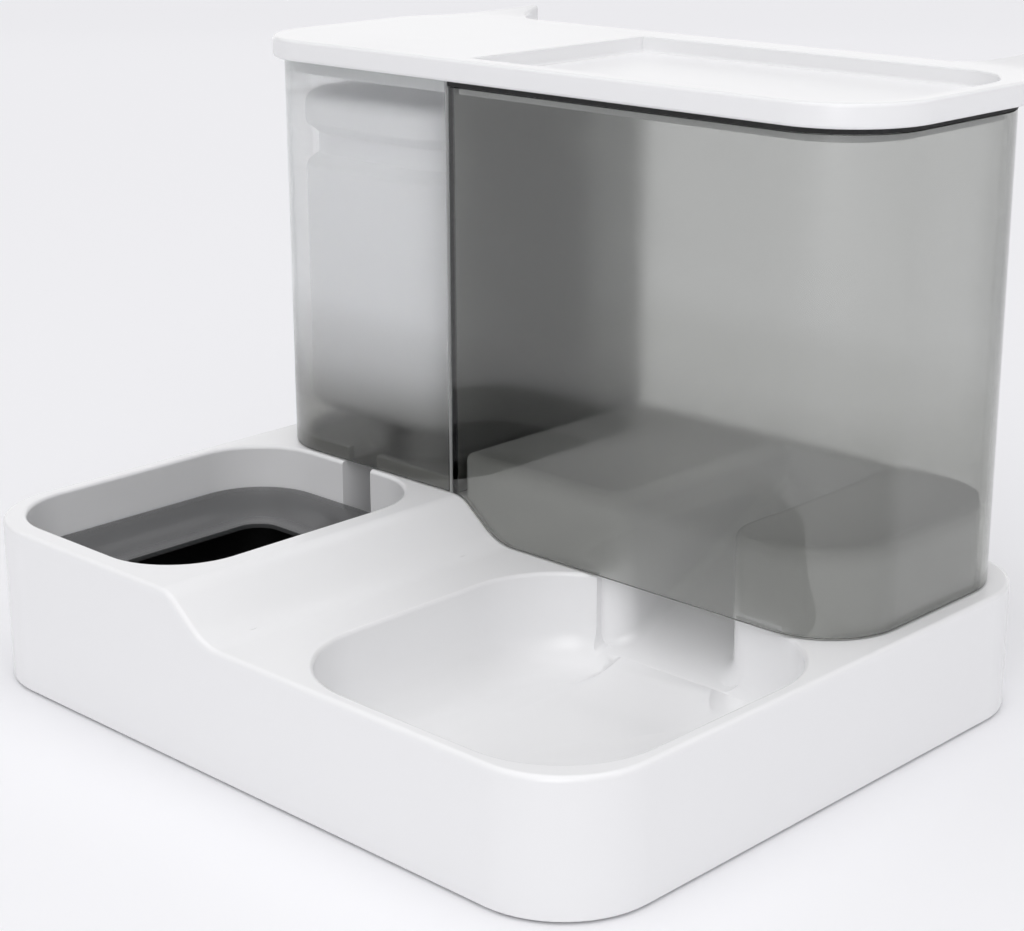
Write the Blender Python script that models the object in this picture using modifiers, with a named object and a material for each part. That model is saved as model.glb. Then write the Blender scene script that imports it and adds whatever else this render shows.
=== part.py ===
"""Gravity pet feeder with a food hopper, an upright water bottle and two sunken bowls.

Frame: metres, +X to the right seen from the front, -Y to the front, +Z up. The origin is at the
centre of the whole object's footprint, on the floor. Depths are measured back from the front wall.
"""
import math

import bmesh
import bpy
from mathutils import Matrix, Vector

# Overall size
WIDTH = 0.300
BASE_DEPTH = 0.2512
TOTAL_DEPTH = 0.272
FRONT = -TOTAL_DEPTH / 2
BACK = FRONT + BASE_DEPTH
GAP = 0.0003

# Base shell
SHELL_BOTTOM = 0.001
WATER_DECK = 0.0618
FOOD_DECK = 0.0472
BASE_CORNER = 0.034
WALL = 0.003
TUB_WALL = 0.0034
EDGE_ROUND = 0.002
STEP_START_X = -0.0353
STEP_ANGLE = math.radians(38)
STEP_CREST_R = 0.012
STEP_FOOT_R = 0.022
BOWL_FLOOR = 0.012
RIM_ROUND = 0.0015

# Bowls: left, right, front and back edges, then corner radius and floor fillet
WATER_BOWL = (-0.1440, -0.0427, FRONT + 0.0086, FRONT + 0.1356)
WATER_BOWL_R = 0.029
WATER_FILLET = 0.006
FOOD_BOWL = (0.0125, 0.1440, FRONT + 0.0056, FRONT + 0.1411)
FOOD_BOWL_R = 0.037
FOOD_FILLET = 0.016

# Tank outline, shared by the hopper, the shroud and the divider
TANK_LEFT = -0.143
TANK_RIGHT = 0.143
TANK_FRONT = FRONT + 0.1371
TANK_BACK = FRONT + 0.2446
TANK_CORNER = 0.030
TANK_TOP = 0.2152
TANK_WALL = 0.002
TANK_CLEAR = 0.0004
DIVIDER_X = (-0.0369, -0.0356)
SEAL_HEIGHT = 0.0017
SEAL_WIDTH = 0.0028
SEAL_PROUD = 0.0003

# Plinth inside the food hopper, and the chute that runs through it to the food bowl
PLINTH = (-0.0324, 0.1390, TANK_FRONT + 0.0040, TANK_BACK - 0.0040)
PLINTH_CORNER = 0.026
PLINTH_SIDE_CORNER = 0.003
PLINTH_ROUND = 0.003
PLINTH_TOP = 0.078
CHUTE_X = (0.046, 0.091)
CHUTE_JAMB_R = 0.010
CHUTE_BACK = TANK_BACK - 0.0075
RAMP_ANGLE = math.radians(24.6)
RAMP_START = (FRONT + 0.1376, 0.019)
CHUTE_MOUTH = PLINTH[2] - 0.012
MERGE = 0.0002

# Water well, bottle and cap, all on one vertical axis
BOTTLE_X = -0.0898
BOTTLE_Y = (TANK_FRONT + TANK_BACK) / 2
WELL_R = 0.0285
WELL_WALL = 0.0035
PASSAGE_X = (-0.0955, -0.0795)
COLLAR_TOP = 0.067
COLLAR_GAP = 0.0012
COLLAR_WALL = 0.0025
REST_RING_TOP = 0.0775
BOTTLE_HALF = 0.0465
BOTTLE_BOTTOM = 0.0778
BOTTLE_TOP = 0.203
BOTTLE_CORNER = 0.024
BOTTLE_WALL = 0.0015
GRIP_DEPTH = 0.005
GRIP_Z = (0.1765, 0.1885)
NECK_R = 0.019
NECK_BOTTOM = 0.050
CAP_R = 0.0235
CAP_Z = (0.044, 0.066)
CAP_FLOOR = 0.0018
CAP_SKIRT = 0.0020
CAP_RIBS = 16
CAP_RIB_R = 0.0009
OUTLET_R = 0.0045
STEM_R = 0.0018
STEM_TOP = 0.0645
VALVE_R = 0.0075
VALVE_LIFT = 0.003
WASHER_THICK = 0.0012
HEAD_THICK = 0.0015
PIN_R = 0.0030
PIN_TOP = 0.0405
SPRING_R = 0.0050
SPRING_WIRE_R = 0.0004
SPRING_TURNS = 4
CAGE_Z = (0.0585, 0.0600)
PORT_R = 0.0042
PORT_PLACE = 0.62

# Float plate in the water bowl
PLATE_GAP = 0.0010
PLATE_RIM_Z = 0.0448
PLATE_HOLE_Z = 0.0405
PLATE_THICK = 0.0020
PLATE_HOLE = (-0.1132, -0.0735, FRONT + 0.0366, FRONT + 0.1076)
PLATE_HOLE_R = 0.010
PLATE_POST_TOP = 0.0230
PLATE_POST_R = 0.0030
PLATE_POST_INSET = 0.020

# Lid with its tray and the two ears at its back corners
LID = (-0.1475, 0.1475, FRONT + 0.1336, FRONT + 0.2496)
LID_CORNER = 0.033
LID_Z = (0.2155, 0.2235)
LID_SKIN = 0.0022
TRAY = (-0.028, 0.1405, FRONT + 0.1418, FRONT + 0.2336)
TRAY_CORNER = 0.026
TRAY_FLOOR = 0.2177
TRAY_ROUND = 0.0015
POCKET_MARGIN = 0.0100
LIP_BOTTOM = 0.2105
LIP_WALL = 0.0018
LIP_GAP = 0.0012
LID_ROUND = 0.0012
EAR_RISE = 0.0028
EAR_HALF_TIP = 0.0022
EAR_TIP = (0.1200, FRONT + TOTAL_DEPTH)

# Bottom cover, feet and screws
COVER_Z = (0.0020, 0.0044)
COVER_GAP = 0.0005
FOOT_R = 0.008
FOOT_POCKET = 0.001
FOOT_CHAMFER = 0.0006
FOOT_INSET = 0.028
SCREW_SHAFT_R = 0.0015
SCREW_HEAD_R = 0.0032
SCREW_HEAD_Z = (0.0021, 0.0031)
SCREW_SINK_TOP = 0.0034
SCREW_TOP = 0.0105
BOSS_R = 0.0042
SCREW_PLACES = (
    (-0.0150, FRONT + 0.020),
    (-0.0150, FRONT + 0.118),
    (-0.1360, FRONT + 0.195),
    (-0.0470, FRONT + 0.236),
    (0.0200, FRONT + 0.195),
    (0.1200, FRONT + 0.195),
)

CORNER_STEPS = 6
ROUND_STEPS = 32


# ---------------------------------------------------------------- scene set-up

for old in list(bpy.data.objects):
    bpy.data.objects.remove(old, do_unlink=True)


def new_collection(name):
    collection = bpy.data.collections.new(name)
    bpy.context.scene.collection.children.link(collection)
    return collection


PARTS = new_collection("pet_feeder")
CUTTERS = new_collection("cutters")


def plastic(name, color, roughness, alpha=1.0, transmission=0.0, metallic=0.0):
    material = bpy.data.materials.new(name)
    material.use_nodes = True
    shader = material.node_tree.nodes["Principled BSDF"]
    shader.inputs["Base Color"].default_value = (*color, 1.0)
    shader.inputs["Roughness"].default_value = roughness
    shader.inputs["Metallic"].default_value = metallic
    shader.inputs["Alpha"].default_value = alpha
    shader.inputs["Transmission Weight"].default_value = transmission
    return material


WHITE = plastic("white_plastic", (0.83, 0.84, 0.86), 0.35)
SMOKE = plastic("smoke_plastic", (0.16, 0.17, 0.15), 0.15, alpha=0.6, transmission=0.6)
FROST = plastic("frosted_smoke", (0.42, 0.45, 0.45), 0.2, alpha=0.6, transmission=0.6)
DARK = plastic("dark_plastic", (0.03, 0.03, 0.03), 0.4)
MILKY = plastic("milky_plastic", (0.78, 0.82, 0.82), 0.4)
GREY = plastic("grey_plastic", (0.20, 0.22, 0.23), 0.15)
RUBBER = plastic("rubber", (0.08, 0.08, 0.08), 0.8)
STEEL = plastic("steel", (0.60, 0.60, 0.60), 0.3, metallic=1.0)


def add_object(name, bm, material=None):
    """Turn a bmesh into an object: a part if it has a material, otherwise a cutter or helper."""
    bmesh.ops.recalc_face_normals(bm, faces=bm.faces[:])
    mesh = bpy.data.meshes.new(name)
    bm.to_mesh(mesh)
    bm.free()
    obj = bpy.data.objects.new(name, mesh)
    if material is None:
        CUTTERS.objects.link(obj)
        obj.hide_render = True
        obj.display_type = "WIRE"
        return obj
    PARTS.objects.link(obj)
    mesh.materials.append(material)
    mesh.shade_smooth()
    mesh.set_sharp_from_angle(angle=math.radians(30))
    return obj


def boolean(target, other, operation):
    modifier = target.modifiers.new(other.name, "BOOLEAN")
    modifier.operation = operation
    modifier.solver = "EXACT"
    modifier.object = other


def join(target, *others):
    for other in others:
        boolean(target, other, "UNION")


def cut(target, *others):
    for other in others:
        boolean(target, other, "DIFFERENCE")


def set_origin(obj, point):
    """Move an object's origin to a point on its joint's axis, leaving its mesh where it is."""
    obj.data.transform(Matrix.Translation(-Vector(point)))
    obj.location = point


# ---------------------------------------------------------------- outlines and solids

def arc(centre, radius, start, end, steps):
    """Points on a circle in a plane, from one angle to another, both in degrees."""
    points = []
    for i in range(steps + 1):
        angle = math.radians(start + (end - start) * i / steps)
        points.append((centre[0] + radius * math.cos(angle), centre[1] + radius * math.sin(angle)))
    return points


def rounded(box, radii, grow=0.0):
    """Counter-clockwise outline of a box whose corners are rounded, grown outwards by a margin.

    The radii go front left, front right, back right, back left. A radius of zero keeps a corner
    square whatever the growth.
    """
    x0, x1, y0, y1 = box[0] - grow, box[1] + grow, box[2] - grow, box[3] + grow
    corners = ((x0, y0, 1, 1, 180), (x1, y0, -1, 1, 270), (x1, y1, -1, -1, 0), (x0, y1, 1, -1, 90))
    points = []
    for (x, y, sx, sy, start), radius in zip(corners, radii):
        if radius == 0:
            points.append((x, y))
            continue
        r = radius + grow
        points += arc((x + sx * r, y + sy * r), r, start, start + 90, CORNER_STEPS)
    return points


def extrude(bm, outline, low, high):
    """Extrude a flat outline straight up and give back its bottom and top faces."""
    bottom = bm.faces.new([bm.verts.new((x, y, low)) for x, y in outline])
    result = bmesh.ops.extrude_face_region(bm, geom=[bottom])["geom"]
    moved = [item for item in result if isinstance(item, bmesh.types.BMVert)]
    bmesh.ops.translate(bm, verts=moved, vec=(0, 0, high - low))
    top = next(item for item in result if isinstance(item, bmesh.types.BMFace))
    return bottom, top


def prism(name, outline, low, high, material=None, top_round=0.0):
    bm = bmesh.new()
    _, top = extrude(bm, outline, low, high)
    if top_round > 0:
        bmesh.ops.bevel(bm, geom=list(top.edges), offset=top_round, segments=3, profile=0.5,
                        affect="EDGES")
    return add_object(name, bm, material)


def stack(name, outline, layers, material=None):
    """A solid whose outline changes with height: layers are pairs of growth and height."""
    bm = bmesh.new()
    rings = []
    for grow, height in layers:
        rings.append([bm.verts.new((x, y, height)) for x, y in outline(grow)])
    for lower, upper in zip(rings, rings[1:]):
        for i, vert in enumerate(lower):
            j = (i + 1) % len(lower)
            bm.faces.new((vert, lower[j], upper[j], upper[i]))
    bm.faces.new(rings[0])
    bm.faces.new(rings[-1])
    return add_object(name, bm, material)


def cylinder(name, centre, radius, low, high, material=None, steps=ROUND_STEPS):
    bm = bmesh.new()
    place = Matrix.Translation((centre[0], centre[1], (low + high) / 2))
    bmesh.ops.create_cone(bm, cap_ends=True, segments=steps, radius1=radius, radius2=radius,
                          depth=high - low, matrix=place)
    return add_object(name, bm, material)


def turned(name, centre, profile, material, steps=ROUND_STEPS):
    """Spin a closed profile of (radius, height) points, listed outer side top to bottom first."""
    bm = bmesh.new()
    verts = [bm.verts.new((r, 0, z)) for r, z in profile]
    for i, vert in enumerate(verts):
        bm.edges.new((vert, verts[(i + 1) % len(verts)]))
    mesh = bpy.data.meshes.new(name)
    bm.to_mesh(mesh)
    bm.free()
    mesh.materials.append(material)
    obj = bpy.data.objects.new(name, mesh)
    PARTS.objects.link(obj)
    obj.location = (centre[0], centre[1], 0)
    screw = obj.modifiers.new("spin", "SCREW")
    screw.steps = steps
    screw.render_steps = steps
    screw.merge_threshold = 0.0001
    screw.use_smooth_shade = True
    return obj


def wall_loop(name, outline, low, high, thickness, material, closed=True):
    """A thin wall standing on an outline: an open strip that Solidify thickens inwards."""
    bm = bmesh.new()
    verts = [bm.verts.new((x, y, low)) for x, y in outline]
    pairs = list(zip(verts, verts[1:]))
    if closed:
        pairs.append((verts[-1], verts[0]))
    edges = [bm.edges.new(pair) for pair in pairs]
    result = bmesh.ops.extrude_edge_only(bm, edges=edges)["geom"]
    moved = [item for item in result if isinstance(item, bmesh.types.BMVert)]
    bmesh.ops.translate(bm, verts=moved, vec=(0, 0, high - low))
    obj = add_object(name, bm, material)
    centre = sum((Vector(p) for p in outline), Vector((0, 0))) / len(outline)
    face = obj.data.polygons[0]
    outward = face.normal.xy.dot(face.center.xy - centre) > 0
    solid = obj.modifiers.new("wall", "SOLIDIFY")
    solid.thickness = thickness
    solid.offset = -1 if outward else 1
    solid.use_even_offset = True
    return obj


# ---------------------------------------------------------------- base

def deck_line(drop=0.0):
    """The deck seen from the front, left to right: high deck, S-shaped step, low deck."""
    crest = (STEP_START_X, WATER_DECK - STEP_CREST_R)
    angle = math.degrees(STEP_ANGLE)
    points = arc(crest, STEP_CREST_R, 90, 90 - angle, 5)
    fall = WATER_DECK - FOOD_DECK
    curved = (STEP_CREST_R + STEP_FOOT_R) * (1 - math.cos(STEP_ANGLE))
    straight = (fall - curved) / math.sin(STEP_ANGLE)
    run = (STEP_CREST_R + STEP_FOOT_R) * math.sin(STEP_ANGLE) + straight * math.cos(STEP_ANGLE)
    foot = (STEP_START_X + run, FOOD_DECK + STEP_FOOT_R)
    points += arc(foot, STEP_FOOT_R, 270 - angle, 270, 5)
    return [(x, z - drop) for x, z in points]


def stepped_block(name, inset, bottom, material=None):
    """The base's outer form, moved inwards by an inset: extruded from its front view."""
    half = WIDTH / 2 - inset
    line = [(half, bottom), (-half, bottom), (-half, WATER_DECK - inset)]
    line += deck_line(inset) + [(half, FOOD_DECK - inset)]
    bm = bmesh.new()
    face = bm.faces.new([bm.verts.new((x, FRONT + inset, z)) for x, z in line])
    result = bmesh.ops.extrude_face_region(bm, geom=[face])["geom"]
    moved = [item for item in result if isinstance(item, bmesh.types.BMVert)]
    bmesh.ops.translate(bm, verts=moved, vec=(0, BASE_DEPTH - 2 * inset, 0))
    bmesh.ops.recalc_face_normals(bm, faces=bm.faces[:])
    corners = [e for e in bm.edges if all(abs(abs(v.co.x) - half) < 1e-6 for v in e.verts)
               and abs(e.verts[0].co.y - e.verts[1].co.y) < 1e-6
               and abs(e.verts[0].co.z - e.verts[1].co.z) > 0.01]
    bmesh.ops.bevel(bm, geom=corners, offset=BASE_CORNER - inset, segments=CORNER_STEPS,
                    profile=0.5, affect="EDGES")
    if material is not None:
        round_deck_edge(bm)
    return add_object(name, bm, material)


def round_deck_edge(bm):
    """Round the edge where the deck meets the outer walls."""
    bm.normal_update()
    rim = []
    for edge in bm.edges:
        ups = sorted(face.normal.z for face in edge.link_faces)
        if abs(ups[0]) < 0.1 and ups[1] > 0.5:
            rim.append(edge)
    bmesh.ops.bevel(bm, geom=rim, offset=EDGE_ROUND, segments=2, profile=0.5, affect="EDGES")


def bowl_cavity(name, box, radius, fillet, deck):
    """The hollow of a bowl, with a filleted floor and a rim rounded where it meets the deck."""
    layers = []
    for r, height in arc((0, BOWL_FLOOR + fillet), fillet, -90, 0, 5):
        layers.append((r - fillet, height))
    for r, height in arc((RIM_ROUND, deck - RIM_ROUND), RIM_ROUND, 180, 90, 3):
        layers.append((r, height))
    layers.append((RIM_ROUND, deck + 0.002))
    return stack(name, lambda grow: rounded(box, [radius] * 4, grow), layers)


def bowl_tub(name, box, radius, deck):
    """The outside of a bowl, hanging below the deck."""
    outline = rounded(box, [radius] * 4, TUB_WALL)
    return prism(name, outline, BOWL_FLOOR - WALL, deck - WALL / 2)


def chute_outline():
    """Plan of the chute: a straight slot whose front corners flare out into the bowl."""
    x0, x1 = CHUTE_X
    radius = CHUTE_JAMB_R
    centre_y = PLINTH[2] + radius
    left = arc((x0 - radius, centre_y), radius, 270, 360, 5)
    right = arc((x1 + radius, centre_y), radius, 180, 270, 5)
    back = [(x0, CHUTE_BACK), (x1, CHUTE_BACK)]
    return [(x0 - radius, CHUTE_MOUTH)] + left + back + right + [(x1 + radius, CHUTE_MOUTH)]


def ramp_prism(name, drop=0.0):
    """Everything above the chute's ramp, as a prism across the chute."""
    y0, z0 = RAMP_START
    slope = math.tan(RAMP_ANGLE)
    start = FRONT + 0.10
    end = TANK_BACK + 0.01
    bm = bmesh.new()
    line = [(start, z0 + (start - y0) * slope - drop), (end, z0 + (end - y0) * slope - drop),
            (end, PLINTH_TOP + 0.04), (start, PLINTH_TOP + 0.04)]
    face = bm.faces.new([bm.verts.new((0.0, y, z)) for y, z in line])
    result = bmesh.ops.extrude_face_region(bm, geom=[face])["geom"]
    moved = [item for item in result if isinstance(item, bmesh.types.BMVert)]
    bmesh.ops.translate(bm, verts=moved, vec=(WIDTH / 2 - 0.01, 0, 0))
    return add_object(name, bm)


def chute_cavity():
    slot = prism("chute_slot", chute_outline(), BOWL_FLOOR, PLINTH_TOP + 0.02)
    boolean(slot, ramp_prism("chute_ramp"), "INTERSECT")
    return slot


def chute_tub():
    """The chute's own walls and floor, under and inside the plinth."""
    x0, x1 = CHUTE_X[0] - WALL, CHUTE_X[1] + WALL
    front, back = PLINTH[2] + MERGE, PLINTH[3] - MERGE
    jamb = CHUTE_JAMB_R + WALL
    throat = PLINTH[2] + jamb
    plan = [(x0 - jamb, front), (x1 + jamb, front), (x1 + jamb, throat), (x1, throat),
            (x1, back), (x0, back), (x0, throat), (x0 - jamb, throat)]
    tub = prism("chute_tub", plan, BOWL_FLOOR - WALL, PLINTH_TOP - WALL / 2)
    boolean(tub, ramp_prism("chute_tub_floor", WALL / math.cos(RAMP_ANGLE)), "INTERSECT")
    return tub


def plinth_outline(grow=0.0):
    corners = [PLINTH_SIDE_CORNER, PLINTH_CORNER, PLINTH_CORNER, PLINTH_SIDE_CORNER]
    return rounded(PLINTH, corners, grow)


def water_side_outline(grow=0.0):
    """Plan of the space inside the shroud, grown inwards or outwards."""
    box = (TANK_LEFT + TANK_WALL, DIVIDER_X[0] - GAP, TANK_FRONT + TANK_WALL, TANK_BACK - TANK_WALL)
    corner = TANK_CORNER - TANK_WALL
    return rounded(box, [corner, 0, 0, corner], grow)


def collar_solids():
    """The low locating collar inside the shroud and the ring that the bottle stands on."""
    root = WATER_DECK - WALL / 2
    collar = prism("collar", water_side_outline(-COLLAR_GAP), root, COLLAR_TOP)
    inside = prism("collar_inside", water_side_outline(-COLLAR_GAP - COLLAR_WALL),
                   WATER_DECK - WALL / 3, COLLAR_TOP + 0.002)
    cut(collar, inside)
    centre = (BOTTLE_X, BOTTLE_Y)
    ring = cylinder("rest_ring", centre, WELL_R + WELL_WALL, root, REST_RING_TOP)
    return collar, ring


def well_solids():
    """The tubs of the water well and of the passage that joins it to the water bowl."""
    floor = BOWL_FLOOR - WALL
    centre = (BOTTLE_X, BOTTLE_Y)
    well = cylinder("well_tub", centre, WELL_R + WELL_WALL, floor, WATER_DECK - WALL / 2)
    y0 = WATER_BOWL[3] + TUB_WALL / 2
    box = (PASSAGE_X[0] - WALL, PASSAGE_X[1] + WALL, y0, BOTTLE_Y - WELL_R + 0.002)
    passage = prism("passage_tub", rounded(box, [0] * 4), floor, WATER_DECK - WALL / 2)
    return well, passage


def well_cavities():
    centre = (BOTTLE_X, BOTTLE_Y)
    well = cylinder("well_cavity", centre, WELL_R, BOWL_FLOOR, REST_RING_TOP + 0.01)
    box = (PASSAGE_X[0], PASSAGE_X[1], WATER_BOWL[3] - 0.008, BOTTLE_Y - WELL_R + 0.006)
    passage = prism("passage_cavity", rounded(box, [0] * 4), BOWL_FLOOR, REST_RING_TOP + 0.012)
    return passage, well


def posts():
    """The pin that opens the bottle's valve, and the four posts that carry the lowered float."""
    floor = BOWL_FLOOR - WALL / 2
    solids = [cylinder("valve_pin", (BOTTLE_X, BOTTLE_Y), PIN_R, floor, PIN_TOP, steps=16)]
    inset = PLATE_POST_INSET
    x0, x1 = WATER_BOWL[0] + inset, WATER_BOWL[1] - inset
    y0, y1 = WATER_BOWL[2] + inset, WATER_BOWL[3] - inset
    for i, place in enumerate(((x0, y0), (x1, y0), (x1, y1), (x0, y1))):
        name = f"float_post_{i + 1}"
        solids.append(cylinder(name, place, PLATE_POST_R, floor, PLATE_POST_TOP, steps=16))
    return solids


def screw_bosses():
    """Bosses under the deck, each with a pilot hole for its cover screw."""
    bosses = []
    holes = []
    for i, (x, y) in enumerate(SCREW_PLACES):
        if PLINTH[0] < x < PLINTH[1] and PLINTH[2] < y < PLINTH[3]:
            top = PLINTH_TOP - WALL / 2
        else:
            top = (FOOD_DECK if x > STEP_START_X else WATER_DECK) - WALL / 2
        bosses.append(cylinder(f"boss_{i + 1}", (x, y), BOSS_R, COVER_Z[1] + GAP, top, steps=16))
        holes.append(cylinder(f"pilot_{i + 1}", (x, y), SCREW_SHAFT_R + GAP, 0.0,
                              SCREW_TOP + GAP, steps=12))
    return bosses, holes


def make_base_shell():
    shell = stepped_block("base_shell", 0.0, SHELL_BOTTOM, WHITE)
    plinth = prism("plinth", plinth_outline(), FOOD_DECK - WALL / 2, PLINTH_TOP,
                   top_round=PLINTH_ROUND)
    join(shell, plinth)
    hollow = stepped_block("hollow", WALL, SHELL_BOTTOM - 0.005)
    plinth_hollow = prism("plinth_hollow", plinth_outline(-WALL), FOOD_DECK - 2 * WALL,
                          PLINTH_TOP - WALL)
    cut(shell, hollow, plinth_hollow)
    bosses, pilot_holes = screw_bosses()
    join(shell, bowl_tub("water_tub", WATER_BOWL, WATER_BOWL_R, WATER_DECK),
         bowl_tub("food_tub", FOOD_BOWL, FOOD_BOWL_R, FOOD_DECK),
         chute_tub(), *well_solids(), *collar_solids(), *bosses)
    cut(shell, bowl_cavity("water_cavity", WATER_BOWL, WATER_BOWL_R, WATER_FILLET, WATER_DECK),
        bowl_cavity("food_cavity", FOOD_BOWL, FOOD_BOWL_R, FOOD_FILLET, FOOD_DECK),
        chute_cavity(), *well_cavities(), *pilot_holes)
    join(shell, *posts())
    return shell


def foot_places():
    x = WIDTH / 2 - FOOT_INSET
    return {
        "foot_front_left": (-x, FRONT + FOOT_INSET),
        "foot_front_right": (x, FRONT + FOOT_INSET),
        "foot_back_right": (x, BACK - FOOT_INSET),
        "foot_back_left": (-x, BACK - FOOT_INSET),
    }


def make_bottom_cover():
    inset = WALL + COVER_GAP
    box = (-WIDTH / 2 + inset, WIDTH / 2 - inset, FRONT + inset, BACK - inset)
    outline = rounded(box, [BASE_CORNER - inset] * 4)
    cover = prism("bottom_cover", outline, *COVER_Z, material=WHITE)
    for name, place in foot_places().items():
        cut(cover, cylinder(name + "_pocket", place, FOOT_R + GAP, 0.0, COVER_Z[0] + FOOT_POCKET,
                            steps=24))
    for i, place in enumerate(SCREW_PLACES):
        cut(cover, cylinder(f"screw_hole_{i + 1}", place, SCREW_SHAFT_R + GAP, 0.0, 0.02, steps=12),
            cylinder(f"screw_sink_{i + 1}", place, SCREW_HEAD_R + GAP, 0.0, SCREW_SINK_TOP,
                     steps=16))
    return cover


def make_feet():
    for name, place in foot_places().items():
        top = COVER_Z[0] + FOOT_POCKET - GAP
        profile = [(FOOT_R, top), (FOOT_R, FOOT_CHAMFER), (FOOT_R - FOOT_CHAMFER, 0.0), (0.0, 0.0),
                   (0.0, top)]
        turned(name, place, profile, RUBBER, steps=20)


def make_screws():
    head_low, head_top = SCREW_HEAD_Z
    for i, place in enumerate(SCREW_PLACES):
        profile = [(SCREW_SHAFT_R, SCREW_TOP), (SCREW_SHAFT_R, head_top), (SCREW_HEAD_R, head_top),
                   (SCREW_HEAD_R, head_low), (0.0, head_low), (0.0, SCREW_TOP)]
        turned(f"cover_screw_{i + 1}", place, profile, STEEL, steps=12)


# ---------------------------------------------------------------- tank

def deck_clearance():
    """A cutter just above the deck, so that tank walls end along it with a small gap."""
    return stepped_block("deck_clearance", -TANK_CLEAR, 0.0)


def food_outline(grow=0.0):
    box = (DIVIDER_X[1] + GAP, TANK_RIGHT, TANK_FRONT, TANK_BACK)
    return rounded(box, [0, TANK_CORNER, TANK_CORNER, 0], grow)


def make_food_hopper(clearance):
    top = TANK_TOP - SEAL_HEIGHT - GAP
    hopper = wall_loop("food_hopper", food_outline(), FOOD_DECK - 0.004, top, TANK_WALL, SMOKE)
    cut(hopper, clearance)
    return hopper


def make_water_shroud(clearance):
    """The shroud's three walls: front, rounded left side and back, open towards the divider."""
    box = (TANK_LEFT, DIVIDER_X[0] - GAP, TANK_FRONT, TANK_BACK)
    loop = rounded(box, [TANK_CORNER, 0, 0, TANK_CORNER])
    split = CORNER_STEPS + 2
    outline = loop[split:] + loop[:split]
    low = WATER_DECK - 0.004
    shroud = wall_loop("water_shroud", outline, low, TANK_TOP, TANK_WALL, FROST, closed=False)
    cut(shroud, clearance)
    return shroud


def make_divider(clearance):
    box = (*DIVIDER_X, TANK_FRONT + 0.0001, TANK_BACK - 0.0001)
    divider = prism("divider_wall", rounded(box, [0] * 4), FOOD_DECK, TANK_TOP, material=DARK)
    cut(divider, clearance)
    return divider


def make_rim_seal():
    low = TANK_TOP - SEAL_HEIGHT
    seal = wall_loop("rim_seal", food_outline(SEAL_PROUD - GAP / 3), low, TANK_TOP, SEAL_WIDTH, RUBBER)
    return seal


# ---------------------------------------------------------------- lid

def curve_points(start, control, end, steps):
    """Points along a quadratic Bezier curve, without its first point."""
    points = []
    for i in range(1, steps + 1):
        t = i / steps
        a, b, c = (1 - t) ** 2, 2 * t * (1 - t), t * t
        points.append(tuple(a * s + b * m + c * e for s, m, e in zip(start, control, end)))
    return points


def ear(name, side):
    """One ear: a plate that narrows from the lid's back corner to its tip, rising a little."""
    tip_x, tip_y = EAR_TIP
    steps = 7
    inner = [(0.0960, LID[3] - 0.006)]
    inner_tip = (tip_x - EAR_HALF_TIP, tip_y - 0.0006)
    inner += curve_points(inner[0], (0.1130, LID[3] + 0.003), inner_tip, steps)
    outer = [(0.1380, LID[3] - 0.012)]
    outer_tip = (tip_x + EAR_HALF_TIP, tip_y)
    outer += curve_points(outer[0], (0.1360, LID[3] + 0.008), outer_tip, steps)
    bm = bmesh.new()
    sections = []
    for i, (a, b) in enumerate(zip(inner, outer)):
        rise = EAR_RISE * (i / steps) ** 2
        low, high = LID_Z[0] + MERGE + rise, LID_Z[1] - MERGE + rise
        corners = [(*a, low), (*b, low), (*b, high), (*a, high)]
        sections.append([bm.verts.new((side * x, y, z)) for x, y, z in corners])
    for near, far in zip(sections, sections[1:]):
        for i in range(4):
            j = (i + 1) % 4
            bm.faces.new((near[i], near[j], far[j], far[i]))
    bm.faces.new(sections[0])
    bm.faces.new(sections[-1])
    return add_object(name, bm)


def lip(name, box, corners):
    """A ring under the lid that drops inside the tank's walls and centres the lid."""
    outer = prism(name, rounded(box, corners), LIP_BOTTOM, LID_Z[0] + LID_SKIN / 2)
    inner = prism(name + "_inside", rounded(box, corners, -LIP_WALL), LIP_BOTTOM - 0.001,
                  LID_Z[0] + LID_SKIN)
    cut(outer, inner)
    return outer


def make_lid():
    lid = prism("lid", rounded(LID, [LID_CORNER] * 4), *LID_Z, material=WHITE, top_round=LID_ROUND)
    join(lid, ear("ear_left", -1), ear("ear_right", 1))
    tray = stack("tray", lambda grow: rounded(TRAY, [0, TRAY_CORNER, TRAY_CORNER, 0], grow),
                 [(-TRAY_ROUND, TRAY_FLOOR), (0.0, TRAY_FLOOR + TRAY_ROUND), (0.0, LID_Z[1] + 0.002)])
    pocket_box = (LID[0] + POCKET_MARGIN, DIVIDER_X[0] - LIP_GAP - LIP_WALL - MERGE,
                  LID[2] + POCKET_MARGIN, LID[3] - POCKET_MARGIN)
    pocket_corner = LID_CORNER - POCKET_MARGIN
    pocket = prism("lid_pocket", rounded(pocket_box, [pocket_corner, 0, 0, pocket_corner]),
                   LID_Z[0] - 0.001, LID_Z[1] - LID_SKIN)
    cut(lid, tray, pocket)
    inset = TANK_WALL + LIP_GAP
    corner = TANK_CORNER - inset
    y0, y1 = TANK_FRONT + inset, TANK_BACK - inset
    food_box = (DIVIDER_X[1] + GAP + inset, TANK_RIGHT - inset, y0, y1)
    water_box = (TANK_LEFT + inset, DIVIDER_X[0] - LIP_GAP, y0, y1)
    join(lid, lip("food_lip", food_box, [0, corner, corner, 0]),
         lip("water_lip", water_box, [corner, 0, 0, corner]))
    return lid


# ---------------------------------------------------------------- bottle, cap and valve

def bottle_section(half, radius, height):
    box = (BOTTLE_X - half, BOTTLE_X + half, BOTTLE_Y - half, BOTTLE_Y + half)
    return [(x, y, height) for x, y in rounded(box, [radius] * 4)]


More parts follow.
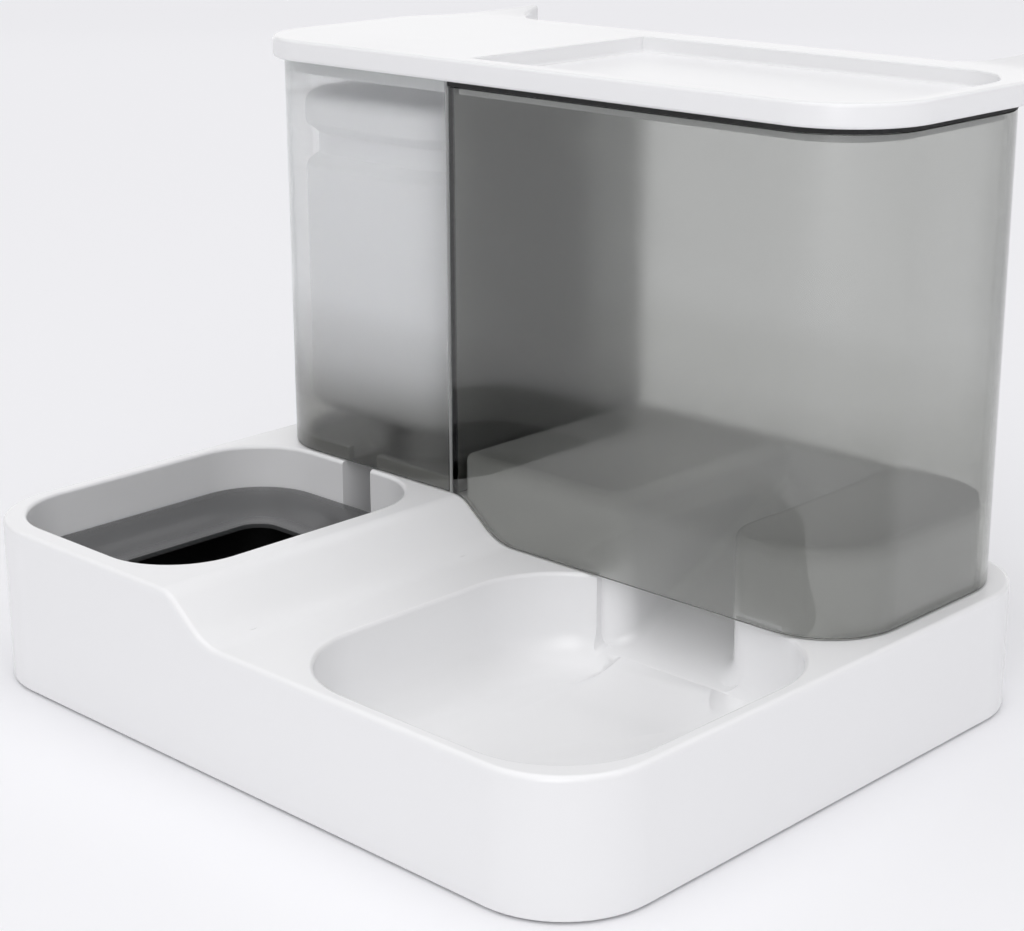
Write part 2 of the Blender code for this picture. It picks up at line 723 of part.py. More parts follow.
def make_bottle():
    """The bottle stands on its neck: closed flat top, grip groove, body, shoulder and open neck."""
    full, groove = BOTTLE_HALF, BOTTLE_HALF - GRIP_DEPTH
    corner, groove_corner = BOTTLE_CORNER, BOTTLE_CORNER - GRIP_DEPTH
    low, high = GRIP_Z
    sections = [
        (full - 0.004, corner - 0.004, BOTTLE_TOP),
        (full, corner, BOTTLE_TOP - 0.004),
        (full, corner, high + 0.002),
        (groove, groove_corner, high - 0.0015),
        (groove, groove_corner, low + 0.0015),
        (full, corner, low - 0.002),
        (full, corner, BOTTLE_BOTTOM + 0.006),
        (full - 0.006, corner - 0.006, BOTTLE_BOTTOM),
        (NECK_R + 0.003, NECK_R + 0.003, BOTTLE_BOTTOM),
        (NECK_R, NECK_R, BOTTLE_BOTTOM - 0.003),
        (NECK_R, NECK_R, NECK_BOTTOM),
    ]
    bm = bmesh.new()
    rings = []
    for half, radius, height in sections:
        rings.append([bm.verts.new(p) for p in bottle_section(half, radius, height)])
    for upper, lower in zip(rings, rings[1:]):
        for i, vert in enumerate(upper):
            j = (i + 1) % len(upper)
            bm.faces.new((vert, lower[i], lower[j], upper[j]))
    bm.faces.new(rings[0])
    bmesh.ops.remove_doubles(bm, verts=bm.verts[:], dist=1e-6)
    bottle = add_object("water_bottle", bm, MILKY)
    top = max(bottle.data.polygons, key=lambda face: face.center.z)
    solid = bottle.modifiers.new("wall", "SOLIDIFY")
    solid.thickness = BOTTLE_WALL
    solid.offset = -1 if top.normal.z > 0 else 1
    set_origin(bottle, (BOTTLE_X, BOTTLE_Y, BOTTLE_BOTTOM))
    return bottle


def make_cap():
    """The screw cap: floor with the outlet hole, skirt round the neck, and grip ribs outside."""
    inner = CAP_R - CAP_SKIRT
    low, high = CAP_Z
    profile = [(CAP_R, high), (CAP_R, low + 0.001), (CAP_R - 0.001, low), (OUTLET_R, low),
               (OUTLET_R, low + CAP_FLOOR), (inner, low + CAP_FLOOR), (inner, high)]
    centre = (BOTTLE_X, BOTTLE_Y)
    cap = turned("bottle_cap", centre, profile, WHITE)
    for i in range(CAP_RIBS):
        angle = 2 * math.pi * i / CAP_RIBS
        place = (BOTTLE_X + CAP_R * math.cos(angle), BOTTLE_Y + CAP_R * math.sin(angle))
        join(cap, cylinder(f"cap_rib_{i + 1}", place, CAP_RIB_R, low + 0.004, high - 0.001, steps=6))
    return cap


def make_cap_gasket():
    """A flat ring between the bottle's mouth and the cap's floor."""
    low = CAP_Z[0] + CAP_FLOOR + GAP
    outer, inner = CAP_R - CAP_SKIRT - GAP, NECK_R - 0.0025
    profile = [(outer, NECK_BOTTOM - GAP), (outer, low), (inner, low), (inner, NECK_BOTTOM - GAP)]
    turned("cap_gasket", (BOTTLE_X, BOTTLE_Y), profile, RUBBER)


def make_valve():
    """Stem with its head, held open by the pin, and the rubber washer under the head."""
    centre = (BOTTLE_X, BOTTLE_Y)
    seat = CAP_Z[0] + CAP_FLOOR
    washer_low = seat + VALVE_LIFT + GAP
    washer_high = washer_low + WASHER_THICK
    head_low = washer_high + GAP
    head_high = head_low + HEAD_THICK
    stem_low = PIN_TOP + GAP
    profile = [(STEM_R, STEM_TOP), (STEM_R, head_high), (VALVE_R, head_high), (VALVE_R, head_low),
               (STEM_R, head_low), (STEM_R, stem_low), (0.0, stem_low), (0.0, STEM_TOP)]
    turned("valve_stem", centre, profile, DARK, steps=24)
    bore = STEM_R + GAP
    profile = [(VALVE_R, washer_high), (VALVE_R, washer_low), (bore, washer_low), (bore, washer_high)]
    turned("valve_seal", centre, profile, RUBBER, steps=24)
    return head_high


def make_valve_cage():
    """A disc with a bore for the stem and three ports, pressed into the neck above the valve."""
    low, high = CAGE_Z
    bore = STEM_R + GAP
    outer = NECK_R - BOTTLE_WALL - GAP
    profile = [(outer, high), (outer, low), (bore, low), (bore, high)]
    cage = turned("valve_cage", (BOTTLE_X, BOTTLE_Y), profile, WHITE, steps=32)
    for i in range(3):
        angle = 2 * math.pi * (i + 0.5) / 3
        reach = outer * PORT_PLACE
        place = (BOTTLE_X + reach * math.cos(angle), BOTTLE_Y + reach * math.sin(angle))
        port = cylinder(f"cage_port_{i + 1}", place, PORT_R, low - 0.001, high + 0.001, steps=16)
        cut(cage, port)
    return cage


def make_valve_spring(low):
    """A light compression spring between the valve's head and the cage."""
    per_turn = 12
    count = SPRING_TURNS * per_turn
    start = low + SPRING_WIRE_R + GAP
    end = CAGE_Z[0] - SPRING_WIRE_R - GAP
    curve = bpy.data.curves.new("valve_spring", "CURVE")
    curve.dimensions = "3D"
    curve.bevel_depth = SPRING_WIRE_R
    curve.bevel_resolution = 1
    curve.use_fill_caps = True
    spline = curve.splines.new("POLY")
    spline.points.add(count)
    for i, point in enumerate(spline.points):
        angle = 2 * math.pi * i / per_turn
        height = start + (end - start) * i / count
        point.co = (SPRING_R * math.cos(angle), SPRING_R * math.sin(angle), height, 1)
    curve.materials.append(STEEL)
    spring = bpy.data.objects.new("valve_spring", curve)
    spring.location = (BOTTLE_X, BOTTLE_Y, 0)
    PARTS.objects.link(spring)


# ---------------------------------------------------------------- float

def make_float_plate():
    """A thin plate that floats in the water bowl, dished towards its drinking opening."""
    outer = rounded(WATER_BOWL, [WATER_BOWL_R] * 4, -PLATE_GAP)
    inner = rounded(PLATE_HOLE, [PLATE_HOLE_R] * 4)
    bm = bmesh.new()
    rings = [[bm.verts.new((x, y, PLATE_RIM_Z)) for x, y in outer]]
    for share, z in ((0.55, PLATE_HOLE_Z + 0.0012), (1.0, PLATE_HOLE_Z)):
        ring = []
        for (ox, oy), (ix, iy) in zip(outer, inner):
            ring.append(bm.verts.new((ox + (ix - ox) * share, oy + (iy - oy) * share, z)))
        rings.append(ring)
    for far, near in zip(rings, rings[1:]):
        for i, vert in enumerate(far):
            j = (i + 1) % len(far)
            bm.faces.new((vert, far[j], near[j], near[i]))
    plate = add_object("float_plate", bm, GREY)
    solid = plate.modifiers.new("thickness", "SOLIDIFY")
    solid.thickness = PLATE_THICK
    solid.offset = -1 if plate.data.polygons[0].normal.z > 0 else 1
    return plate


# ---------------------------------------------------------------- assembly

def build():
    clearance = deck_clearance()
    make_base_shell()
    make_bottom_cover()
    make_feet()
    make_screws()
    make_food_hopper(clearance)
    make_water_shroud(clearance)
    make_divider(clearance)
    make_rim_seal()
    make_lid()
    make_bottle()
    make_cap()
    make_cap_gasket()
    make_valve_spring(make_valve())
    make_valve_cage()
    make_float_plate()


build()
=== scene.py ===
"""Looks of the gravity pet feeder: fine meshes, materials, light and camera on its frame."""
import math

import bmesh
import bpy
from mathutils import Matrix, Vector


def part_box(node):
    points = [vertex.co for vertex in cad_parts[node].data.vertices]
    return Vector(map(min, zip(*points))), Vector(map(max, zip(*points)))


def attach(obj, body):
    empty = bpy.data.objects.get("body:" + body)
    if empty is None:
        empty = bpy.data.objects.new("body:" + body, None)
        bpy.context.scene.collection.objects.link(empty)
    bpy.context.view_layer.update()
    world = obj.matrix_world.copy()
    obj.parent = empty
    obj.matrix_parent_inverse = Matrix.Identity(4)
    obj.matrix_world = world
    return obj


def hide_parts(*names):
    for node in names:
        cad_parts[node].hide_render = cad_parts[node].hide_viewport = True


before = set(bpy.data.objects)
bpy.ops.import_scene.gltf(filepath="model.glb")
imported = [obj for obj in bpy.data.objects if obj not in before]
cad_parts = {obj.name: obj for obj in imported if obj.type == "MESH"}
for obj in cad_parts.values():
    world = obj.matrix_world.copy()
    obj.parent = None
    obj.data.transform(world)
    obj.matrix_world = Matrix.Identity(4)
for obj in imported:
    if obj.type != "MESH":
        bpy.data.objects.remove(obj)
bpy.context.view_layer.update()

# ---------------------------------------------------------------- places read from the frame

BASE_LOW, BASE_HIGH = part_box("base_shell")
COVER_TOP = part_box("bottom_cover")[1].z
HOPPER_LOW, HOPPER_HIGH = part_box("food_hopper")
SHROUD_LOW, SHROUD_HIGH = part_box("water_shroud")
DIVIDER_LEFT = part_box("divider_wall")[0].x
LID_LOW, LID_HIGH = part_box("lid")
BOTTLE_LOW, BOTTLE_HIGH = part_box("water_bottle")
PLATE_LOW, PLATE_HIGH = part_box("float_plate")

# Base shell
FRONT = BASE_LOW.y
BASE_CORNER = 0.034
WALL = 0.003
TUB_WALL = 0.0034
EDGE_ROUND = 0.002
LOW_EDGE_ROUND = 0.0006
WATER_DECK = 0.0618
FOOD_DECK = 0.0472
PLINTH_TOP = BASE_HIGH.z
STEP_START_X = -0.0353
STEP_ANGLE = math.radians(38)
STEP_CREST_R = 0.012
STEP_FOOT_R = 0.022
BOWL_FLOOR = 0.012
RIM_ROUND = 0.0015
WATER_BOWL = (PLATE_LOW.x - 0.0006, PLATE_HIGH.x + 0.0006, FRONT + 0.0086, FRONT + 0.1356)
WATER_BOWL_R = 0.029
WATER_FILLET = 0.006
WATER_TRAY_TOP = 0.030
FOOD_BOWL = (0.0125, 0.1440, FRONT + 0.0056, FRONT + 0.1411)
FOOD_BOWL_R = 0.037
FOOD_FILLET = 0.016
BOSS_R = 0.0042
BOSS_GAP = 0.0003
PILOT_R = 0.0018
PILOT_TOP = 0.0108

# Tank
TANK_CORNER = 0.030
TANK_WALL = 0.002
TANK_CLEAR = 0.0004
TANK_EDGE = 0.00035
TANK_FRONT = HOPPER_LOW.y
TANK_BACK = HOPPER_HIGH.y

# Plinth and chute
PLINTH = (-0.0324, 0.1390, TANK_FRONT + 0.0040, TANK_BACK - 0.0040)
PLINTH_CORNER = 0.026
PLINTH_ROUND = 0.003
CHUTE_X = (0.046, 0.091)
CHUTE_JAMB_R = 0.010
CHUTE_CREST_R = 0.005
CHUTE_FILLET = (0.004, 0.008)
CHUTE_BACK = TANK_BACK - 0.0075
CHUTE_FRONT = PLINTH[2] - 0.012
RAMP_ANGLE = math.radians(24.6)
RAMP_START = (FRONT + 0.1376, 0.019)
RAMP_TOE = (FRONT + 0.1110, FRONT + 0.1330)
TOE_SLOPE = 0.006
TOE_INSET = 0.002
TOE_SINK = 0.0002

# Water well
BOTTLE_X = (BOTTLE_LOW.x + BOTTLE_HIGH.x) / 2
BOTTLE_Y = (BOTTLE_LOW.y + BOTTLE_HIGH.y) / 2
WELL_R = 0.0285
WELL_WALL = 0.0035
PASSAGE_X = (-0.0955, -0.0795)
COLLAR_TOP = 0.067
COLLAR_GAP = 0.0012
COLLAR_WALL = 0.0025
REST_RING_TOP = 0.0775
PIN_R = 0.0030
PIN_TOP = 0.0405
POST_R = 0.0030
POST_TOP = 0.0230
POST_INSET = 0.020

# Lid
LID_FLAT = (0.2155, 0.2235)
LID_BACK = FRONT + 0.2496
LID_CORNER = 0.033
LID_ROUND = 0.0013
LID_SKIN = 0.0022
TRAY = (-0.028, 0.1405, FRONT + 0.1418, FRONT + 0.2336)
TRAY_CORNER = 0.026
TRAY_FLOOR = 0.2177
TRAY_FILLET = 0.0014
TRAY_RIM_ROUND = 0.0006
LIP_WALL = 0.0018
LIP_GAP = 0.0012
POCKET_MARGIN = 0.010
EAR_ROOT_ANGLE = 40
EAR_INNER_ROOT_X = 0.0990
EAR_TIP_X = 0.1200
EAR_TIP_R = 0.0024
EAR_RISE = 0.0026
EAR_OUTER_BEND = (0.1350, LID_BACK + 0.0067)
EAR_INNER_BEND = (0.1100, LID_BACK + 0.0004)
EAR_STEPS = 14

# Bottle
GRIP_DEPTH = 0.005
GRIP_Z = (0.1765, 0.1885)
BOTTLE_CORNER = 0.024
BOTTLE_BOTTOM = 0.0778
BOTTLE_WALL = 0.0015
BOTTLE_ROUND = 0.006
NECK_R = 0.019
NECK_BOTTOM = BOTTLE_LOW.z

# Float plate
PLATE_HOLE = (-0.1132, -0.0735, FRONT + 0.0366, FRONT + 0.1076)
PLATE_HOLE_R = 0.010
PLATE_THICK = 0.0020
PLATE_EDGE = 0.0004
PLATE_STEPS = 12

CORNER_STEPS = 14
ARC_STEPS = 8
SHARP_ANGLE = math.radians(32)

# Camera: millimetres, metres, and degrees of pitch, roll and turn
CAMERA_LENS = 77.34
CAMERA_PLACE = (0.5241, -0.5453, 0.3196)
CAMERA_ANGLES = (90 - 17.52, 0.18, 43.99)

# Painted shade: surface tints of the two tank walls by height in metres, which darken what shows
# through them where it lies in shade, low down and under the lid
HOPPER_PAINTED_SHADE_STOPS = ((0.044, (0.93, 0.93, 0.92)), (0.070, (0.92, 0.92, 0.91)),
                (0.080, (0.79, 0.79, 0.78)), (0.105, (0.87, 0.87, 0.86)),
                (0.130, (1.0, 1.0, 1.0)), (0.2152, (1.0, 1.0, 1.0)))
SHROUD_PAINTED_SHADE_STOPS = ((0.060, (0.50, 0.50, 0.48)), (0.078, (0.62, 0.62, 0.60)),
                (0.108, (0.86, 0.86, 0.85)), (0.130, (1.0, 1.0, 1.0)),
                (0.200, (1.0, 1.0, 1.0)), (0.2152, (0.80, 0.82, 0.81)))


# ---------------------------------------------------------------- mesh helpers

def arc(centre, radius, start, end, steps=ARC_STEPS):
    """Points on a circle in a plane, from one angle to another, both in degrees."""
    points = []
    for i in range(steps + 1):
        angle = math.radians(start + (end - start) * i / steps)
        points.append((centre[0] + radius * math.cos(angle), centre[1] + radius * math.sin(angle)))
    return points


def bezier(start, control, end, steps):
    """Points along a quadratic curve, both ends included."""
    points = []
    for i in range(steps + 1):
        t = i / steps
        weights = ((1 - t) ** 2, 2 * t * (1 - t), t * t)
        points.append(tuple(sum(w * p[k] for w, p in zip(weights, (start, control, end)))
                            for k in range(2)))
    return points


def rounded(box, radii, grow=0.0):
    """Counter-clockwise outline of a box with rounded corners, grown outwards by a margin.

    The radii go front left, front right, back right, back left, and zero keeps a corner square.
    """
    x0, x1, y0, y1 = box[0] - grow, box[1] + grow, box[2] - grow, box[3] + grow
    corners = ((x0, y0, 1, 1, 180), (x1, y0, -1, 1, 270), (x1, y1, -1, -1, 0), (x0, y1, 1, -1, 90))
    points = []
    for (x, y, sx, sy, start), radius in zip(corners, radii):
        if radius == 0:
            points.append((x, y))
            continue
        r = radius + grow
        points += arc((x + sx * r, y + sy * r), r, start, start + 90, CORNER_STEPS)
    return points


def raw_object(name, bm):
    bmesh.ops.recalc_face_normals(bm, faces=bm.faces[:])
    mesh = bpy.data.meshes.new(name)
    bm.to_mesh(mesh)
    bm.free()
    obj = bpy.data.objects.new(name, mesh)
    bpy.context.scene.collection.objects.link(obj)
    return obj


def bridge(bm, rings, cap_start=True, cap_end=True):
    """Join rings of equal length with quads, and close the two ends."""
    for near, far in zip(rings, rings[1:]):
        for i, vert in enumerate(near):
            j = (i + 1) % len(near)
            bm.faces.new((vert, near[j], far[j], far[i]))
    if cap_start:
        bm.faces.new(rings[0])
    if cap_end:
        bm.faces.new(rings[-1])


def loft(name, sections, cap_start=True, cap_end=True):
    """A skin through sections of equal length, each a list of 3D points."""
    bm = bmesh.new()
    rings = [[bm.verts.new(point) for point in section] for section in sections]
    bridge(bm, rings, cap_start, cap_end)
    bmesh.ops.remove_doubles(bm, verts=bm.verts[:], dist=1e-6)
    return raw_object(name, bm)


def at_height(outline, z):
    return [(x, y, z) for x, y in outline]


def stack(name, outline, layers):
    """A solid whose outline grows with height: layers are pairs of growth and height."""
    return loft(name, [at_height(outline(grow), z) for grow, z in layers])


def prism(name, outline, low, high, top_round=0.0, low_round=0.0):
    """An extruded outline, with its top or bottom edge rounded if asked."""
    bm = bmesh.new()
    bottom = bm.faces.new([bm.verts.new((x, y, low)) for x, y in outline])
    result = bmesh.ops.extrude_face_region(bm, geom=[bottom])["geom"]
    moved = [item for item in result if isinstance(item, bmesh.types.BMVert)]
    bmesh.ops.translate(bm, verts=moved, vec=(0, 0, high - low))
    top = next(item for item in result if isinstance(item, bmesh.types.BMFace))
    top_edges, low_edges = list(top.edges), list(bottom.edges)
    if top_round > 0:
        bmesh.ops.bevel(bm, geom=top_edges, offset=top_round, segments=4, profile=0.5,
                        affect="EDGES")
    if low_round > 0:
        bmesh.ops.bevel(bm, geom=low_edges, offset=low_round, segments=4, profile=0.5,
                        affect="EDGES")
    return raw_object(name, bm)


def cylinder(name, centre, radius, low, high, steps=64):
    bm = bmesh.new()
    bmesh.ops.create_cone(bm, cap_ends=True, segments=steps, radius1=radius, radius2=radius,
                          depth=high - low)
    bmesh.ops.translate(bm, verts=bm.verts[:], vec=(centre[0], centre[1], (low + high) / 2))
    return raw_object(name, bm)


def boolean(target, others, operation):
    """Apply exact Booleans with several operands in turn, and remove the operands."""
    for other in others:
        modifier = target.modifiers.new(other.name, "BOOLEAN")
        modifier.operation = operation
        modifier.solver = "EXACT"
        modifier.object = other
    apply_modifiers(target)
    for other in others:
        bpy.data.objects.remove(other, do_unlink=True)


def apply_modifiers(obj):
    graph = bpy.context.evaluated_depsgraph_get()
    graph.update()
    mesh = bpy.data.meshes.new_from_object(obj.evaluated_get(graph))
    obj.modifiers.clear()
    obj.data = mesh


def solidify(obj, thickness, inward=True):
    """Thicken an open surface, towards its inside by default."""
    modifier = obj.modifiers.new("wall", "SOLIDIFY")
    modifier.thickness = thickness
    modifier.offset = -1 if inward else 1
    modifier.use_even_offset = True
    apply_modifiers(obj)


def soften(obj, width):
    """Round an object's hard edges."""
    modifier = obj.modifiers.new("edges", "BEVEL")
    modifier.width = width
    modifier.segments = 2
    modifier.limit_method = "ANGLE"
    modifier.angle_limit = math.radians(50)
    apply_modifiers(obj)


def dress(obj, body, slot, material, *nodes):
    """Finish a piece: shading, material, the body it rides on and the nodes it stands for."""
    obj.data.materials.clear()
    obj.data.materials.append(material)
    obj.data.shade_smooth()
    obj.data.set_sharp_from_angle(angle=SHARP_ANGLE)
    weighted = obj.modifiers.new("normals", "WEIGHTED_NORMAL")
    weighted.keep_sharp = True
    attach(obj, body)
    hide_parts(*nodes)


# ---------------------------------------------------------------- materials

class Recipe:
    """A Principled material and the few texture nodes that the finishes here share."""

    def __init__(self, name, color, roughness, **sockets):
        self.material = bpy.data.materials.new(name)
        self.material.use_nodes = True
        self.nodes = self.material.node_tree.nodes
        self.links = self.material.node_tree.links
        self.shader = self.nodes["Principled BSDF"]
        self.shader.inputs["Base Color"].default_value = (*color, 1.0)
        self.shader.inputs["Roughness"].default_value = roughness
        for label, value in sockets.items():
            self.shader.inputs[label.replace("_", " ")].default_value = value
        self.place = self.nodes.new("ShaderNodeTexCoord").outputs["Object"]

    def noise(self, scale, detail=2.0):
        node = self.nodes.new("ShaderNodeTexNoise")
        node.inputs["Scale"].default_value = scale
        node.inputs["Detail"].default_value = detail
        self.links.new(self.place, node.inputs["Vector"])
        return node.outputs["Fac"]

    def spread(self, value, low, high):
        """Map a noise value, which stays near one half, to a range."""
        node = self.nodes.new("ShaderNodeMapRange")
        node.interpolation_type = "SMOOTHSTEP"
        node.inputs["From Min"].default_value = 0.2
        node.inputs["From Max"].default_value = 0.8
        node.inputs["To Min"].default_value = low
        node.inputs["To Max"].default_value = high
        self.links.new(value, node.inputs["Value"])
        return node.outputs["Result"]

    def vary_roughness(self, scale, low, high):
        self.links.new(self.spread(self.noise(scale), low, high), self.shader.inputs["Roughness"])

    def vary_color(self, scale, low, high):
        node = self.nodes.new("ShaderNodeMix")
        node.data_type = "RGBA"
        node.inputs["A"].default_value = (*low, 1.0)
        node.inputs["B"].default_value = (*high, 1.0)
        self.links.new(self.spread(self.noise(scale), 0.0, 1.0), node.inputs["Factor"])
        self.links.new(node.outputs["Result"], self.shader.inputs["Base Color"])

    def grain(self, scale, depth):
        """Moulded surface texture: depth is the height of the grain in metres."""
        node = self.nodes.new("ShaderNodeBump")
        node.inputs["Strength"].default_value = 1.0
        node.inputs["Distance"].default_value = depth
        self.links.new(self.noise(scale, 3.0), node.inputs["Height"])
        self.links.new(node.outputs["Normal"], self.shader.inputs["Normal"])

    def map_height(self, low, high):
        """The share of the way up from one height to another, in metres in the frame."""
        split = self.nodes.new("ShaderNodeSeparateXYZ")
        self.links.new(self.place, split.inputs[0])
        node = self.nodes.new("ShaderNodeMapRange")
        node.inputs["From Min"].default_value = low
        node.inputs["From Max"].default_value = high
        self.links.new(split.outputs["Z"], node.inputs["Value"])
        return node

    def paint_shade_by_height(self, stops):
        """A surface colour that changes with height, used here to paint shade: stops are pairs of
        height and colour.
        """
        low, high = stops[0][0], stops[-1][0]
        scaled = self.map_height(low, high)
        ramp = self.nodes.new("ShaderNodeValToRGB")
        ramp.color_ramp.interpolation = "EASE"
        elements = ramp.color_ramp.elements
        while len(elements) < len(stops):
            elements.new(0.5)
        for element, (height, color) in zip(elements, stops):
            element.position = (height - low) / (high - low)
            element.color = (*color, 1.0)
        self.links.new(scaled.outputs["Result"], ramp.inputs["Fac"])
        self.links.new(ramp.outputs["Color"], self.shader.inputs["Base Color"])
        return ramp.outputs["Color"]

    def clear_below(self, low, high, share):
        """Roughness falls to a share of itself from the height high down to the height low."""
        scaled = self.map_height(low, high)
        scaled.interpolation_type = "SMOOTHSTEP"
        scaled.inputs["To Min"].default_value = share
        product = self.nodes.new("ShaderNodeMath")
        product.operation = "MULTIPLY"
        roughness = self.shader.inputs["Roughness"]
        self.links.new(roughness.links[0].from_socket, product.inputs[0])
        self.links.new(scaled.outputs["Result"], product.inputs[1])
        self.links.new(product.outputs["Value"], roughness)

    def see_through_where_white(self, tint, share):
        """Let a share of the light straight through where the tint is white."""
        opacity = self.nodes.new("ShaderNodeMapRange")
        opacity.inputs["From Min"].default_value = 0.6
        opacity.inputs["From Max"].default_value = 1.0
        opacity.inputs["To Min"].default_value = 1.0
        opacity.inputs["To Max"].default_value = 1.0 - share
        self.links.new(tint, opacity.inputs["Value"])
        self.links.new(opacity.outputs["Result"], self.shader.inputs["Alpha"])

    def absorb(self, color, density):
        node = self.nodes.new("ShaderNodeVolumeAbsorption")
        node.inputs["Color"].default_value = (*color, 1.0)
        node.inputs["Density"].default_value = density
        output = self.nodes["Material Output"]
        self.links.new(node.outputs["Volume"], output.inputs["Volume"])


def white_plastic(name="white_plastic", roughness=(0.20, 0.26)):
    recipe = Recipe(name, (0.93, 0.93, 0.94), 0.35, Specular_IOR_Level=0.5)
    recipe.vary_color(5.0, (0.926, 0.927, 0.936), (0.936, 0.937, 0.946))
    recipe.vary_roughness(9.0, *roughness)
    recipe.grain(700.0, 0.000002)
    return recipe.material


def smoke_plastic(name, tint, density, roughness, coat):
    """Tinted clear plastic, frosted inside: near things show through it and far ones blur."""
    recipe = Recipe(name, (1.0, 1.0, 1.0), roughness[0], Transmission_Weight=1.0, IOR=1.46,
                    Coat_Weight=coat, Coat_Roughness=0.03)
    recipe.vary_roughness(30.0, *roughness)
    recipe.grain(900.0, 0.000006)
    recipe.absorb(tint, density)
    return recipe


def hopper_smoke():
    """The hopper is clearer near its foot, so the plinth shows through it; painted shade darkens
    its lower walls, most where the plinth's tops show through, in place of the shade under the lid.
    """
    recipe = smoke_plastic("smoke_clear", (0.30, 0.32, 0.27), 205.0, (0.14, 0.18), 0.6)
    # The wall tint by height is painted shade over the plinth seen through it.
    recipe.paint_shade_by_height(HOPPER_PAINTED_SHADE_STOPS)
    recipe.clear_below(0.085, 0.135, 0.35)
    return recipe.material


def shroud_smoke():
    """The shroud is a paler, more open smoke, with painted shade at its foot, over the collar and
    the bottle's lower part, and at its rim under the lid.
    """
    recipe = smoke_plastic("smoke_light", (0.38, 0.43, 0.42), 24.0, (0.20, 0.26), 0.2)
    # The tint by height is painted shade, darker at the foot and under the lid.
    tint = recipe.paint_shade_by_height(SHROUD_PAINTED_SHADE_STOPS)
    recipe.see_through_where_white(tint, 0.7)
    return recipe.material


def frosted_divider():
    """The divider is hazier than the walls, so it scatters part of the light back."""
    recipe = smoke_plastic("smoke_divider", (0.30, 0.31, 0.29), 150.0, (0.30, 0.40), 0.0)
    recipe.shader.inputs["Base Color"].default_value = (0.74, 0.75, 0.74, 1.0)
    recipe.shader.inputs["Transmission Weight"].default_value = 0.65
    return recipe.material


def rubber(name, color):
    recipe = Recipe(name, color, 0.75)
    recipe.vary_roughness(300.0, 0.65, 0.85)
    recipe.grain(1200.0, 0.00003)
    return recipe.material


def milky_plastic():
    recipe = Recipe("milky_plastic", (0.95, 0.96, 0.965), 0.4, Transmission_Weight=0.03, IOR=1.49)
    recipe.vary_color(12.0, (0.945, 0.955, 0.965), (0.960, 0.970, 0.980))
    recipe.vary_roughness(60.0, 0.35, 0.48)
    recipe.grain(500.0, 0.00002)
    return recipe.material


def float_plastic():
    recipe = Recipe("float_plastic", (0.08, 0.08, 0.08), 0.2, Coat_Weight=0.5, Coat_Roughness=0.05)
    recipe.vary_color(9.0, (0.074, 0.075, 0.077), (0.088, 0.089, 0.091))
    recipe.vary_roughness(50.0, 0.18, 0.26)
    recipe.grain(1100.0, 0.000008)
    return recipe.material


def dark_plastic(name, color, roughness):
    recipe = Recipe(name, color, roughness)
    recipe.vary_roughness(80.0, roughness * 0.8, roughness * 1.2)
    recipe.grain(1000.0, 0.000010)
    return recipe.material


def plated_steel():
    recipe = Recipe("plated_steel", (0.62, 0.62, 0.64), 0.3, Metallic=1.0)
    recipe.vary_color(700.0, (0.56, 0.56, 0.57), (0.68, 0.68, 0.70))
    recipe.vary_roughness(900.0, 0.22, 0.42)
    recipe.grain(2500.0, 0.000008)
    return recipe.material


WHITE = white_plastic()
CAP_WHITE = white_plastic("cap_plastic", (0.38, 0.50))
COVER_WHITE = white_plastic("cover_plastic", (0.55, 0.68))
SMOKE = hopper_smoke()
LIGHT_SMOKE = shroud_smoke()
DIVIDER_SMOKE = frosted_divider()
SEAL = rubber("seal_rubber", (0.015, 0.015, 0.015))
FOOT = rubber("foot_rubber", (0.05, 0.05, 0.055))
MILKY = milky_plastic()
GREY = float_plastic()
VALVE = dark_plastic("valve_plastic", (0.05, 0.055, 0.06), 0.35)
STEEL = plated_steel()
# Near-black painted shade for the white bowl's lower part under the float plate.
TRAY_PAINTED_SHADE = dark_plastic("tray_painted_shade", (0.012, 0.012, 0.013), 0.4)

NODE_MATERIALS = {
    "bottom_cover": COVER_WHITE,
    "divider_wall": DIVIDER_SMOKE,
    "rim_seal": SEAL,
    "cap_gasket": SEAL,
    "valve_seal": SEAL,
    "valve_cage": CAP_WHITE,
    "bottle_cap": CAP_WHITE,
    "valve_stem": VALVE,
    "valve_spring": STEEL,
}


def dress_cad_nodes():
    for name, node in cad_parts.items():
        if name.startswith("foot_"):
            material = FOOT
        elif name.startswith("cover_screw_"):
            material = STEEL
        else:
            material = NODE_MATERIALS.get(name)
        if material is not None:
            node.data.materials.clear()
            node.data.materials.append(material)


# ---------------------------------------------------------------- base shell

def step_line():
    """The deck seen from the front, left to right: high deck, S-shaped step, low deck."""
    angle = math.degrees(STEP_ANGLE)
    points = arc((STEP_START_X, WATER_DECK - STEP_CREST_R), STEP_CREST_R, 90, 90 - angle)
    radii = STEP_CREST_R + STEP_FOOT_R
    fall = WATER_DECK - FOOD_DECK
    straight = (fall - radii * (1 - math.cos(STEP_ANGLE))) / math.sin(STEP_ANGLE)
    run = radii * math.sin(STEP_ANGLE) + straight * math.cos(STEP_ANGLE)
    foot = (STEP_START_X + run, FOOD_DECK + STEP_FOOT_R)
    return points + arc(foot, STEP_FOOT_R, 270 - angle, 270)


def deck_height(x):
    """Height of the deck at a place across the base."""
    line = step_line()
    if x <= line[0][0]:
        return WATER_DECK
    for (xa, za), (xb, zb) in zip(line, line[1:]):
        if x <= xb:
            return za + (zb - za) * (x - xa) / (xb - xa)
    return FOOD_DECK


